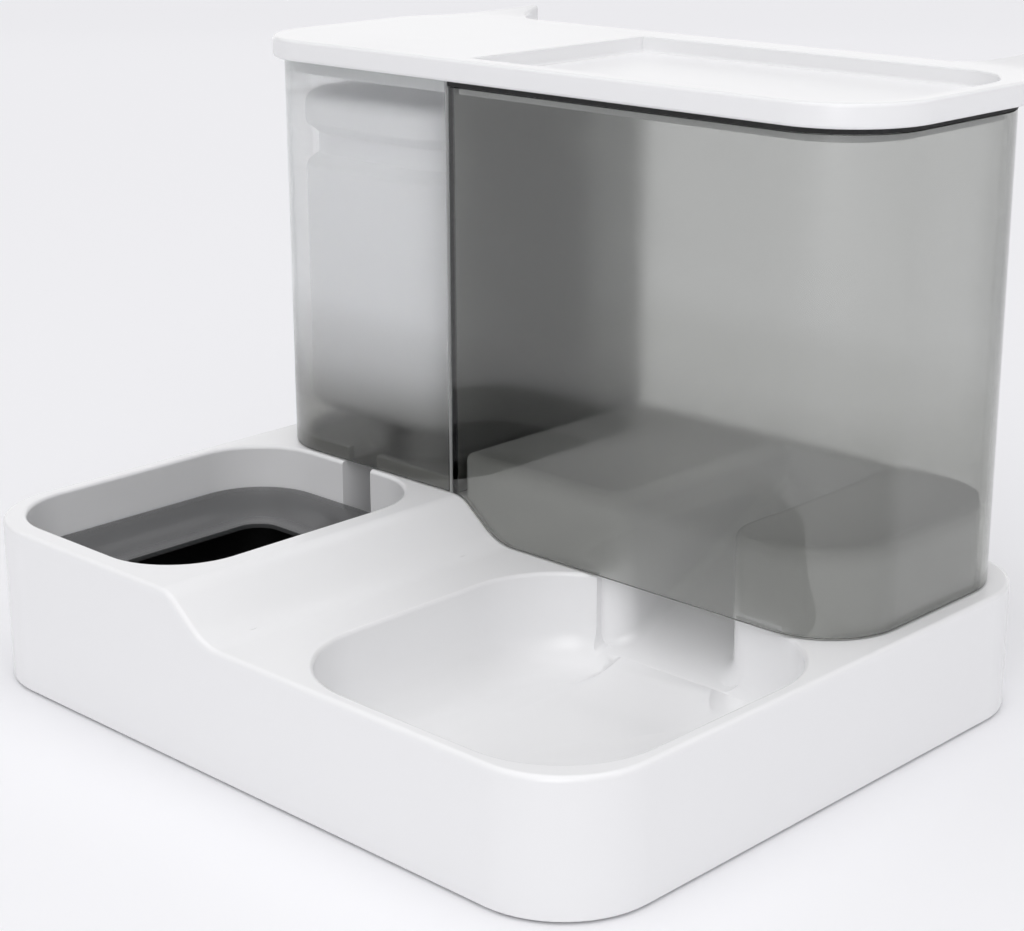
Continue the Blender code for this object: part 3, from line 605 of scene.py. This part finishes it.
def stepped_block(name, inset, bottom, edge_round=0.0):
    """The base's outer form, moved inwards by an inset: extruded from its front view."""
    half = BASE_HIGH.x - inset
    line = [(half, bottom), (-half, bottom), (-half, WATER_DECK - inset)]
    line += [(x, z - inset) for x, z in step_line()] + [(half, FOOD_DECK - inset)]
    front, back = FRONT + inset, BASE_HIGH.y - inset
    bm = bmesh.new()
    face = bm.faces.new([bm.verts.new((x, front, z)) for x, z in line])
    result = bmesh.ops.extrude_face_region(bm, geom=[face])["geom"]
    moved = [item for item in result if isinstance(item, bmesh.types.BMVert)]
    bmesh.ops.translate(bm, verts=moved, vec=(0, back - front, 0))
    bmesh.ops.recalc_face_normals(bm, faces=bm.faces[:])
    corners = [edge for edge in bm.edges
               if abs(abs(edge.verts[0].co.x) - half) < 1e-6
               and (edge.verts[0].co - edge.verts[1].co).xy.length < 1e-6]
    bmesh.ops.bevel(bm, geom=corners, offset=BASE_CORNER - inset, segments=CORNER_STEPS,
                    profile=0.5, affect="EDGES")
    if edge_round > 0:
        bm.normal_update()
        top = [edge for edge in bm.edges if is_edge_between(edge, 0.5)]
        bmesh.ops.bevel(bm, geom=top, offset=edge_round, segments=4, profile=0.5, affect="EDGES")
        bm.normal_update()
        low = [edge for edge in bm.edges if is_edge_between(edge, -0.5)]
        bmesh.ops.bevel(bm, geom=low, offset=LOW_EDGE_ROUND, segments=2, profile=0.5,
                        affect="EDGES")
    return raw_object(name, bm)


def is_edge_between(edge, slope):
    """True where an upright wall meets a face that looks up (slope above 0) or down (below 0)."""
    ups = [face.normal.z for face in edge.link_faces]
    wall = min(ups, key=abs)
    flat = max(ups, key=abs)
    return abs(wall) < 0.1 and flat * math.copysign(1, slope) > abs(slope)


def bowl_cavity(name, box, radius, fillet, deck):
    """The hollow of a bowl, with a filleted floor and a rim rounded where it meets the deck."""
    layers = [(r - fillet, z) for r, z in arc((0, BOWL_FLOOR + fillet), fillet, -90, 0)]
    layers.append((0.0, WATER_TRAY_TOP))
    layers += arc((RIM_ROUND, deck - RIM_ROUND), RIM_ROUND, 180, 90, 5)
    layers.append((RIM_ROUND, deck + 0.002))
    return stack(name, lambda grow: rounded(box, [radius] * 4, grow), layers)


def bowl_tub(name, box, radius, deck):
    outline = rounded(box, [radius] * 4, TUB_WALL)
    return prism(name, outline, BOWL_FLOOR - WALL, deck - WALL / 2)


def ramp_height(y):
    return RAMP_START[1] + (y - RAMP_START[0]) * math.tan(RAMP_ANGLE)


def chute_section(y):
    """Cross-section of the chute at one depth: rounded crests, straight walls, filleted floor."""
    mouth = CHUTE_JAMB_R - max(0.0, PLINTH[2] + CHUTE_JAMB_R - y)
    flare = CHUTE_JAMB_R - math.sqrt(CHUTE_JAMB_R ** 2 - (CHUTE_JAMB_R - max(mouth, 0.0)) ** 2)
    x0, x1 = CHUTE_X[0] - flare, CHUTE_X[1] + flare
    floor = ramp_height(y)
    top = PLINTH_TOP
    crest = CHUTE_CREST_R
    left, right = CHUTE_FILLET
    points = [(x0 - crest, top + 0.003)]
    points += arc((x0 - crest, top - crest), crest, 90, 0, 6)
    points += arc((x0 + left, floor + left), left, 180, 270, 6)
    points += arc((x1 - right, floor + right), right, 270, 360, 6)
    points += arc((x1 + crest, top - crest), crest, 180, 90, 6)
    points.append((x1 + crest, top + 0.003))
    return [(x, y, z) for x, z in points]


def chute_cavity():
    """The chute from the bowl up into the plinth, with jambs that round out at its mouth."""
    mouth = PLINTH[2]
    depths = [CHUTE_FRONT]
    for i in range(9):
        depths.append(mouth + CHUTE_JAMB_R * (1 - math.cos(math.radians(90 * i / 8))))
    depths += [mouth + (CHUTE_BACK - mouth) * share for share in (0.3, 0.5, 0.75)]
    floor_limit = CHUTE_BACK - 0.004
    sections = [chute_section(y) for y in depths + [floor_limit]]
    return loft("chute_cavity", sections)


def ramp_toe():
    """The foot of the ramp, which runs out smoothly over the bowl's floor between sloping sides."""
    tip, join = RAMP_TOE
    bend = RAMP_START[0] - (RAMP_START[1] - BOWL_FLOOR) / math.tan(RAMP_ANGLE)
    curve = bezier((tip, BOWL_FLOOR), (bend, BOWL_FLOOR), (join, ramp_height(join)), 12)
    back = PLINTH[2] + CHUTE_JAMB_R
    curve.append((back, ramp_height(back) - 2 * TOE_SINK))
    under = BOWL_FLOOR - WALL / 2
    x0, x1 = CHUTE_X
    sections = []
    low = BOWL_FLOOR - TOE_SINK
    for x, rise in ((x0 - TOE_SLOPE, 0.0), (x0 + TOE_INSET, 1.0),
                    (x1 - TOE_INSET, 1.0), (x1 + TOE_SLOPE, 0.0)):
        top = [(x, y, low + rise * (z - low)) for y, z in curve]
        sections.append(top + [(x, back, under), (x, tip, under)])
    return loft("ramp_toe", sections)


def chute_tub():
    """The chute's own walls and floor, under and inside the plinth."""
    x0, x1 = CHUTE_X[0] - WALL, CHUTE_X[1] + WALL
    jamb = CHUTE_JAMB_R + WALL
    front, back = PLINTH[2] + 0.0002, PLINTH[3] - 0.0002
    throat = PLINTH[2] + jamb
    plan = [(x0 - jamb, front), (x1 + jamb, front), (x1 + jamb, throat), (x1, throat),
            (x1, back), (x0, back), (x0, throat), (x0 - jamb, throat)]
    tub = prism("chute_tub", plan, BOWL_FLOOR - WALL, PLINTH_TOP - 0.0015)
    drop = WALL / math.cos(RAMP_ANGLE)
    low, high = front - 0.01, back + 0.01
    under = [(low, BOWL_FLOOR - 2 * WALL), (high, BOWL_FLOOR - 2 * WALL),
             (high, ramp_height(high) - drop), (low, ramp_height(low) - drop)]
    wedge = loft("wedge", [[(x, y, z) for y, z in under] for x in (x0 - 0.02, x1 + 0.02)])
    boolean(tub, [wedge], "DIFFERENCE")
    return tub


def plinth_outline(grow=0.0):
    return rounded(PLINTH, [0.003, PLINTH_CORNER, PLINTH_CORNER, 0.003], grow)


def shroud_inside(grow=0.0):
    box = (SHROUD_LOW.x + TANK_WALL, SHROUD_HIGH.x, TANK_FRONT + TANK_WALL, TANK_BACK - TANK_WALL)
    corner = TANK_CORNER - TANK_WALL
    return rounded(box, [corner, 0, 0, corner], grow)


def collar():
    """The low collar that centres the shroud."""
    root = WATER_DECK - WALL / 2
    ring = prism("collar", shroud_inside(-COLLAR_GAP), root, COLLAR_TOP, top_round=0.0008)
    inside = prism("collar_inside", shroud_inside(-COLLAR_GAP - COLLAR_WALL),
                   WATER_DECK - WALL / 3, COLLAR_TOP + 0.002)
    boolean(ring, [inside], "DIFFERENCE")
    return ring


def well_solids():
    floor, top = BOWL_FLOOR - WALL, WATER_DECK - WALL / 2
    centre = (BOTTLE_X, BOTTLE_Y)
    box = (PASSAGE_X[0] - WALL, PASSAGE_X[1] + WALL, WATER_BOWL[3] + TUB_WALL / 2,
           BOTTLE_Y - WELL_R + 0.002)
    return [cylinder("well_tub", centre, WELL_R + WELL_WALL, floor, REST_RING_TOP),
            prism("passage_tub", rounded(box, [0] * 4), floor, top)]


def well_cavities():
    box = (PASSAGE_X[0], PASSAGE_X[1], WATER_BOWL[3] - 0.008, BOTTLE_Y - WELL_R + 0.006)
    return [cylinder("well", (BOTTLE_X, BOTTLE_Y), WELL_R, BOWL_FLOOR, REST_RING_TOP + 0.01),
            prism("passage", rounded(box, [0] * 4), BOWL_FLOOR, REST_RING_TOP + 0.012)]


def posts():
    """The pin that opens the bottle's valve, and the posts that carry the lowered float."""
    floor = BOWL_FLOOR - WALL / 2
    solids = [cylinder("pin", (BOTTLE_X, BOTTLE_Y), PIN_R, floor, PIN_TOP, 24)]
    x0, x1, y0, y1 = WATER_BOWL
    for x in (x0 + POST_INSET, x1 - POST_INSET):
        for y in (y0 + POST_INSET, y1 - POST_INSET):
            solids.append(cylinder("post", (x, y), POST_R, floor, POST_TOP, 24))
    return solids


def screw_places():
    places = []
    for name in sorted(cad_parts):
        if name.startswith("cover_screw_"):
            low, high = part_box(name)
            places.append(((low.x + high.x) / 2, (low.y + high.y) / 2))
    return places


def bosses():
    solids, holes = [], []
    for x, y in screw_places():
        inside = PLINTH[0] < x < PLINTH[1] and PLINTH[2] < y < PLINTH[3]
        top = (PLINTH_TOP if inside else deck_height(x)) - WALL / 2
        solids.append(cylinder("boss", (x, y), BOSS_R, COVER_TOP + BOSS_GAP, top, 24))
        holes.append(cylinder("pilot", (x, y), PILOT_R, 0.0, PILOT_TOP, 16))
    return solids, holes


def in_water_tray(centre):
    """True for the lower part of the water bowl, which stays below the float plate and gets a
    near-black painted shade.
    """
    x0, x1, y0, y1 = WATER_BOWL
    margin = 0.0005
    inside = x0 - margin < centre.x < x1 + margin and y0 - margin < centre.y < y1 + margin
    return inside and BOWL_FLOOR - margin < centre.z < WATER_TRAY_TOP


def make_base_shell():
    shell = stepped_block("base_body", 0.0, BASE_LOW.z, EDGE_ROUND)
    plinth = prism("plinth", plinth_outline(), FOOD_DECK - WALL / 2, PLINTH_TOP, PLINTH_ROUND)
    boolean(shell, [plinth], "UNION")
    hollow = stepped_block("hollow", WALL, BASE_LOW.z - 0.005)
    inside = prism("plinth_inside", plinth_outline(-WALL), FOOD_DECK - 2 * WALL, PLINTH_TOP - WALL)
    boolean(shell, [hollow, inside], "DIFFERENCE")
    solids, holes = bosses()
    tubs = [bowl_tub("water_tub", WATER_BOWL, WATER_BOWL_R, WATER_DECK),
            bowl_tub("food_tub", FOOD_BOWL, FOOD_BOWL_R, FOOD_DECK), chute_tub(), collar()]
    boolean(shell, tubs + well_solids() + solids, "UNION")
    cavities = [bowl_cavity("water_bowl", WATER_BOWL, WATER_BOWL_R, WATER_FILLET, WATER_DECK),
                bowl_cavity("food_bowl", FOOD_BOWL, FOOD_BOWL_R, FOOD_FILLET, FOOD_DECK),
                chute_cavity()]
    boolean(shell, cavities + well_cavities() + holes, "DIFFERENCE")
    boolean(shell, posts() + [ramp_toe()], "UNION")
    dress(shell, "base", "white_shell", WHITE, "base_shell")
    # Painted shade: the lower water bowl under the float plate takes the near-black material.
    shell.data.materials.append(TRAY_PAINTED_SHADE)
    for face in shell.data.polygons:
        if in_water_tray(face.center):
            face.material_index = 1


# ---------------------------------------------------------------- tank

def tank_wall(name, outline, top, closed):
    """A thin wall on an outline, whose lower edge follows the deck with a small gap."""
    bm = bmesh.new()
    low = [bm.verts.new((x, y, deck_height(x) + TANK_CLEAR)) for x, y in outline]
    high = [bm.verts.new((x, y, top)) for x, y in outline]
    count = len(outline)
    for i in range(count if closed else count - 1):
        j = (i + 1) % count
        bm.faces.new((low[i], low[j], high[j], high[i]))
    wall = raw_object(name, bm)
    centre = sum((Vector(point) for point in outline), Vector((0, 0))) / count
    face = wall.data.polygons[0]
    outward = face.normal.xy.dot(face.center.xy - centre) > 0
    solidify(wall, TANK_WALL, inward=outward)
    soften(wall, TANK_EDGE)
    return wall


def with_step(outline):
    """Add the points where the step bends, on the front and back walls of an outline."""
    bends = [x for x, _ in step_line()]
    result = []
    for a, b in zip(outline, outline[1:] + outline[:1]):
        result.append(a)
        if abs(a[1] - b[1]) < 1e-9:
            inside = [x for x in bends if min(a[0], b[0]) + 1e-5 < x < max(a[0], b[0]) - 1e-5]
            result += [(x, a[1]) for x in sorted(inside, reverse=a[0] > b[0])]
    return result


def make_tank():
    food_box = (HOPPER_LOW.x, HOPPER_HIGH.x, TANK_FRONT, TANK_BACK)
    food = with_step(rounded(food_box, [0, TANK_CORNER, TANK_CORNER, 0]))
    hopper = tank_wall("hopper_wall", food, HOPPER_HIGH.z, True)
    dress(hopper, "tank", "smoke_clear", SMOKE, "food_hopper")
    water_box = (SHROUD_LOW.x, SHROUD_HIGH.x, TANK_FRONT, TANK_BACK)
    loop = rounded(water_box, [TANK_CORNER, 0, 0, TANK_CORNER])
    split = CORNER_STEPS + 2
    shroud = tank_wall("shroud_wall", loop[split:] + loop[:split], SHROUD_HIGH.z, False)
    dress(shroud, "tank", "smoke_light", LIGHT_SMOKE, "water_shroud")


# ---------------------------------------------------------------- lid

def ear_edges():
    """The right ear's outer and inner edges in plan, from the lid's corner to the tip."""
    corner = (LID_HIGH.x - LID_CORNER, LID_BACK - LID_CORNER)
    root = arc(corner, LID_CORNER, 0, EAR_ROOT_ANGLE)[-1]
    tip = (EAR_TIP_X, LID_HIGH.y - EAR_TIP_R)
    outer = bezier(root, EAR_OUTER_BEND, (tip[0] + EAR_TIP_R, tip[1]), EAR_STEPS)
    inner = bezier((EAR_INNER_ROOT_X, LID_BACK), EAR_INNER_BEND,
                   (tip[0] - EAR_TIP_R, tip[1]), EAR_STEPS)
    nose = arc(tip, EAR_TIP_R, 0, 180, 6)[1:-1]
    return outer, inner, nose


def lid_plate():
    """The lid's plate: a rounded front, and two ears that curve out and up from its back."""
    outer, inner, nose = ear_edges()
    low, high = LID_FLAT
    front_right = arc((LID_HIGH.x - LID_CORNER, LID_LOW.y + LID_CORNER), LID_CORNER, 270, 360,
                      CORNER_STEPS)
    corner = (LID_HIGH.x - LID_CORNER, LID_BACK - LID_CORNER)
    back_right = arc(corner, LID_CORNER, 0, EAR_ROOT_ANGLE)[:-1]
    side = [(x, y, 0.0) for x, y in front_right + back_right]
    count = len(outer) - 1
    rises = [EAR_RISE * (i / count) ** 2 for i in range(count + 1)]
    ear = [(x, y, rise) for (x, y), rise in zip(outer, rises)]
    ear += [(x, y, EAR_RISE) for x, y in nose]
    ear += [(x, y, rise) for (x, y), rise in reversed(list(zip(inner, rises)))]
    right = side + ear
    plan = right + [(-x, y, rise) for x, y, rise in reversed(right)]
    first, last = len(side), len(right) - 1
    bm = bmesh.new()
    rings = []
    for z in (low, high):
        rings.append([bm.verts.new((x, y, z + rise)) for x, y, rise in plan])
    total = len(plan)
    for i in range(total):
        j = (i + 1) % total
        bm.faces.new((rings[0][i], rings[0][j], rings[1][j], rings[1][i]))
    for ring in rings:
        body = [i for i in range(total)
                if not first < i < last and not first < total - 1 - i < last]
        bm.faces.new([ring[i] for i in body])
        for mirrored in (False, True):
            index = [total - 1 - i if mirrored else i for i in range(first, last + 1)]
            for i in range(count):
                quad = (index[i], index[i + 1], index[-2 - i], index[-1 - i])
                bm.faces.new([ring[k] for k in quad])
            bm.faces.new([ring[k] for k in index[count:len(index) - count]])
    bmesh.ops.recalc_face_normals(bm, faces=bm.faces[:])
    rim = [edge for edge in bm.edges if is_edge_between(edge, 0.5) or is_edge_between(edge, -0.5)]
    bmesh.ops.bevel(bm, geom=rim, offset=LID_ROUND, segments=4, profile=0.5, affect="EDGES")
    return raw_object("lid_plate", bm)


def lip(name, box, corners):
    """A ring under the lid that drops inside the tank's walls."""
    outer = prism(name, rounded(box, corners), LID_LOW.z, LID_FLAT[0] + LID_SKIN / 2,
                  low_round=0.0005)
    inside = prism(name + "_inside", rounded(box, corners, -LIP_WALL), LID_LOW.z - 0.001,
                   LID_FLAT[0] + LID_SKIN)
    boolean(outer, [inside], "DIFFERENCE")
    return outer


def make_lid():
    lid = lid_plate()
    layers = [(r - TRAY_FILLET, z)
              for r, z in arc((0, TRAY_FLOOR + TRAY_FILLET), TRAY_FILLET, -90, 0, 4)]
    layers += arc((TRAY_RIM_ROUND, LID_FLAT[1] - TRAY_RIM_ROUND), TRAY_RIM_ROUND, 180, 90, 3)
    layers.append((TRAY_RIM_ROUND, LID_FLAT[1] + 0.002))
    tray = stack("tray", lambda grow: rounded(TRAY, [0, TRAY_CORNER, TRAY_CORNER, 0], grow), layers)
    pocket_box = (LID_LOW.x + POCKET_MARGIN, DIVIDER_LEFT - LIP_GAP - LIP_WALL - 0.0002,
                  LID_LOW.y + POCKET_MARGIN, LID_BACK - POCKET_MARGIN)
    pocket_corner = LID_CORNER - POCKET_MARGIN
    pocket = prism("pocket", rounded(pocket_box, [pocket_corner, 0, 0, pocket_corner]),
                   LID_FLAT[0] - 0.001, LID_FLAT[1] - LID_SKIN)
    boolean(lid, [tray, pocket], "DIFFERENCE")
    inset = TANK_WALL + LIP_GAP
    corner = TANK_CORNER - inset
    y0, y1 = TANK_FRONT + inset, TANK_BACK - inset
    food_box = (HOPPER_LOW.x + inset, HOPPER_HIGH.x - inset, y0, y1)
    water_box = (SHROUD_LOW.x + inset, DIVIDER_LEFT - LIP_GAP, y0, y1)
    boolean(lid, [lip("food_lip", food_box, [0, corner, corner, 0]),
                  lip("water_lip", water_box, [corner, 0, 0, corner])], "UNION")
    dress(lid, "lid", "white_shell", WHITE, "lid")


# ---------------------------------------------------------------- bottle and float

def make_bottle():
    """The bottle stands on its neck: closed top, grip groove, body, shoulder and open neck."""
    half = (BOTTLE_HIGH.x - BOTTLE_LOW.x) / 2
    low, high = GRIP_Z
    top_arc = arc((0, BOTTLE_HIGH.z - BOTTLE_ROUND), BOTTLE_ROUND, 0, 90)
    profile = [(r - BOTTLE_ROUND, z) for r, z in reversed(top_arc)]
    profile += [(0.0, high + 0.003), (-0.0006, high + 0.0015), (-GRIP_DEPTH, high - 0.002),
                (-GRIP_DEPTH, low + 0.002), (-0.0006, low - 0.0015), (0.0, low - 0.003)]
    low_arc = arc((0, BOTTLE_BOTTOM + BOTTLE_ROUND), BOTTLE_ROUND, 0, -90)
    profile += [(r - BOTTLE_ROUND, z) for r, z in low_arc]
    sections = []
    box = (BOTTLE_X - half, BOTTLE_X + half, BOTTLE_Y - half, BOTTLE_Y + half)
    for grow, z in profile:
        sections.append(at_height(rounded(box, [BOTTLE_CORNER] * 4, grow), z))
    for radius, z in ((NECK_R + 0.003, BOTTLE_BOTTOM), (NECK_R + 0.0008, BOTTLE_BOTTOM - 0.0012),
                      (NECK_R, BOTTLE_BOTTOM - 0.0035), (NECK_R, NECK_BOTTOM)):
        box = (BOTTLE_X - radius, BOTTLE_X + radius, BOTTLE_Y - radius, BOTTLE_Y + radius)
        sections.append(at_height(rounded(box, [radius] * 4), z))
    bottle = loft("bottle_body", sections, cap_end=False)
    top = max(bottle.data.polygons, key=lambda face: face.center.z)
    solidify(bottle, BOTTLE_WALL, inward=top.normal.z > 0)
    dress(bottle, "bottle", "milky_bottle", MILKY, "water_bottle")


def make_float_plate():
    """A thin glossy plate, dished towards the drinking opening in its middle."""
    outer = rounded((PLATE_LOW.x, PLATE_HIGH.x, PLATE_LOW.y, PLATE_HIGH.y),
                    [WATER_BOWL_R - 0.001] * 4)
    inner = rounded(PLATE_HOLE, [PLATE_HOLE_R] * 4)
    rim_z, hole_z = PLATE_HIGH.z, PLATE_LOW.z + PLATE_THICK
    sections = []
    for i in range(PLATE_STEPS + 1):
        share = i / PLATE_STEPS
        fall = 0.5 - 0.5 * math.cos(math.pi * min(1.0, share * 1.15))
        z = rim_z + (hole_z - rim_z) * fall
        sections.append([(ox + (ix - ox) * share, oy + (iy - oy) * share, z)
                         for (ox, oy), (ix, iy) in zip(outer, inner)])
    plate = loft("float_skin", sections, cap_start=False, cap_end=False)
    up = plate.data.polygons[0].normal.z > 0
    solidify(plate, PLATE_THICK, inward=up)
    soften(plate, PLATE_EDGE)
    dress(plate, "float", "float_grey", GREY, "float_plate")


# ---------------------------------------------------------------- stage

def make_floor():
    bm = bmesh.new()
    bmesh.ops.create_grid(bm, x_segments=1, y_segments=1, size=20.0)
    floor = raw_object("floor", bm)
    recipe = Recipe("floor_paint", (0.93, 0.93, 0.95), 0.9, Specular_IOR_Level=0.1)
    floor.data.materials.append(recipe.material)


def softbox(name, place, target, size, power, only_reflected=False):
    """A rectangular lamp; one that is only reflected adds highlights but no diffuse light."""
    light = bpy.data.lights.new(name, "AREA")
    light.shape = "RECTANGLE"
    light.size, light.size_y = size
    light.energy = power
    obj = bpy.data.objects.new(name, light)
    obj.location = place
    obj.rotation_euler = (Vector(target) - Vector(place)).to_track_quat("-Z", "Y").to_euler()
    bpy.context.scene.collection.objects.link(obj)
    if only_reflected:
        obj.visible_camera = False
        obj.visible_diffuse = False
        obj.visible_transmission = False


def soft_sun(name, direction, strength):
    """A very wide sun, like a large diffuser far away in that direction."""
    light = bpy.data.lights.new(name, "SUN")
    light.energy = strength
    light.angle = math.radians(60)
    obj = bpy.data.objects.new(name, light)
    obj.rotation_euler = Vector(direction).to_track_quat("Z", "Y").to_euler()
    bpy.context.scene.collection.objects.link(obj)


def make_backdrop(horizon, dome):
    """A pale studio: the walls near the horizon are brighter than the ceiling."""
    world = bpy.data.worlds.new("studio")
    world.use_nodes = True
    nodes, links = world.node_tree.nodes, world.node_tree.links
    background = nodes["Background"]
    background.inputs["Color"].default_value = (0.990, 0.985, 1.0, 1.0)
    split = nodes.new("ShaderNodeSeparateXYZ")
    links.new(nodes.new("ShaderNodeTexCoord").outputs["Generated"], split.inputs[0])
    fade = nodes.new("ShaderNodeMapRange")
    fade.interpolation_type = "SMOOTHSTEP"
    fade.inputs["From Min"].default_value = 0.15
    fade.inputs["From Max"].default_value = 0.50
    fade.inputs["To Min"].default_value = horizon
    fade.inputs["To Max"].default_value = dome
    links.new(split.outputs["Z"], fade.inputs["Value"])
    links.new(fade.outputs["Result"], background.inputs["Strength"])
    bpy.context.scene.world = world


def make_light():
    make_backdrop(0.182, 0.665)
    soft_sun("overhead", (0.0, 0.0, 1.0), 0.60)
    soft_sun("from_front", (0.0, -1.0, 0.84), 0.330)
    soft_sun("from_right", (1.0, 0.0, 0.7), 0.217)
    softbox("corner_box", (0.75, -0.75, 0.75), (0.12, -0.12, 0.03), (0.8, 0.8), 1.80)
    softbox("back_wall", (-1.5, 1.6, 0.45), (0.0, 0.0, 0.45), (4.0, 0.7), 7.5, True)
    softbox("strip_wide", (0.68, -1.17, 0.5), (0.134, 0.01, 0.12), (0.5, 1.4), 4.0, True)
    softbox("strip_thin", (0.95, -0.95, 0.5), (0.134, 0.01, 0.12), (0.12, 1.4), 1.0, True)


def make_camera():
    camera = bpy.data.cameras.new("camera")
    camera.lens = CAMERA_LENS
    camera.sensor_width = 36.0
    obj = bpy.data.objects.new("camera", camera)
    obj.location = CAMERA_PLACE
    obj.rotation_euler = [math.radians(angle) for angle in CAMERA_ANGLES]
    bpy.context.scene.collection.objects.link(obj)
    bpy.context.scene.camera = obj


def main():
    make_camera()
    make_light()
    make_floor()
    dress_cad_nodes()
    make_base_shell()
    make_tank()
    make_lid()
    make_bottle()
    make_float_plate()
    bpy.context.scene.view_settings.view_transform = "Standard"


main()
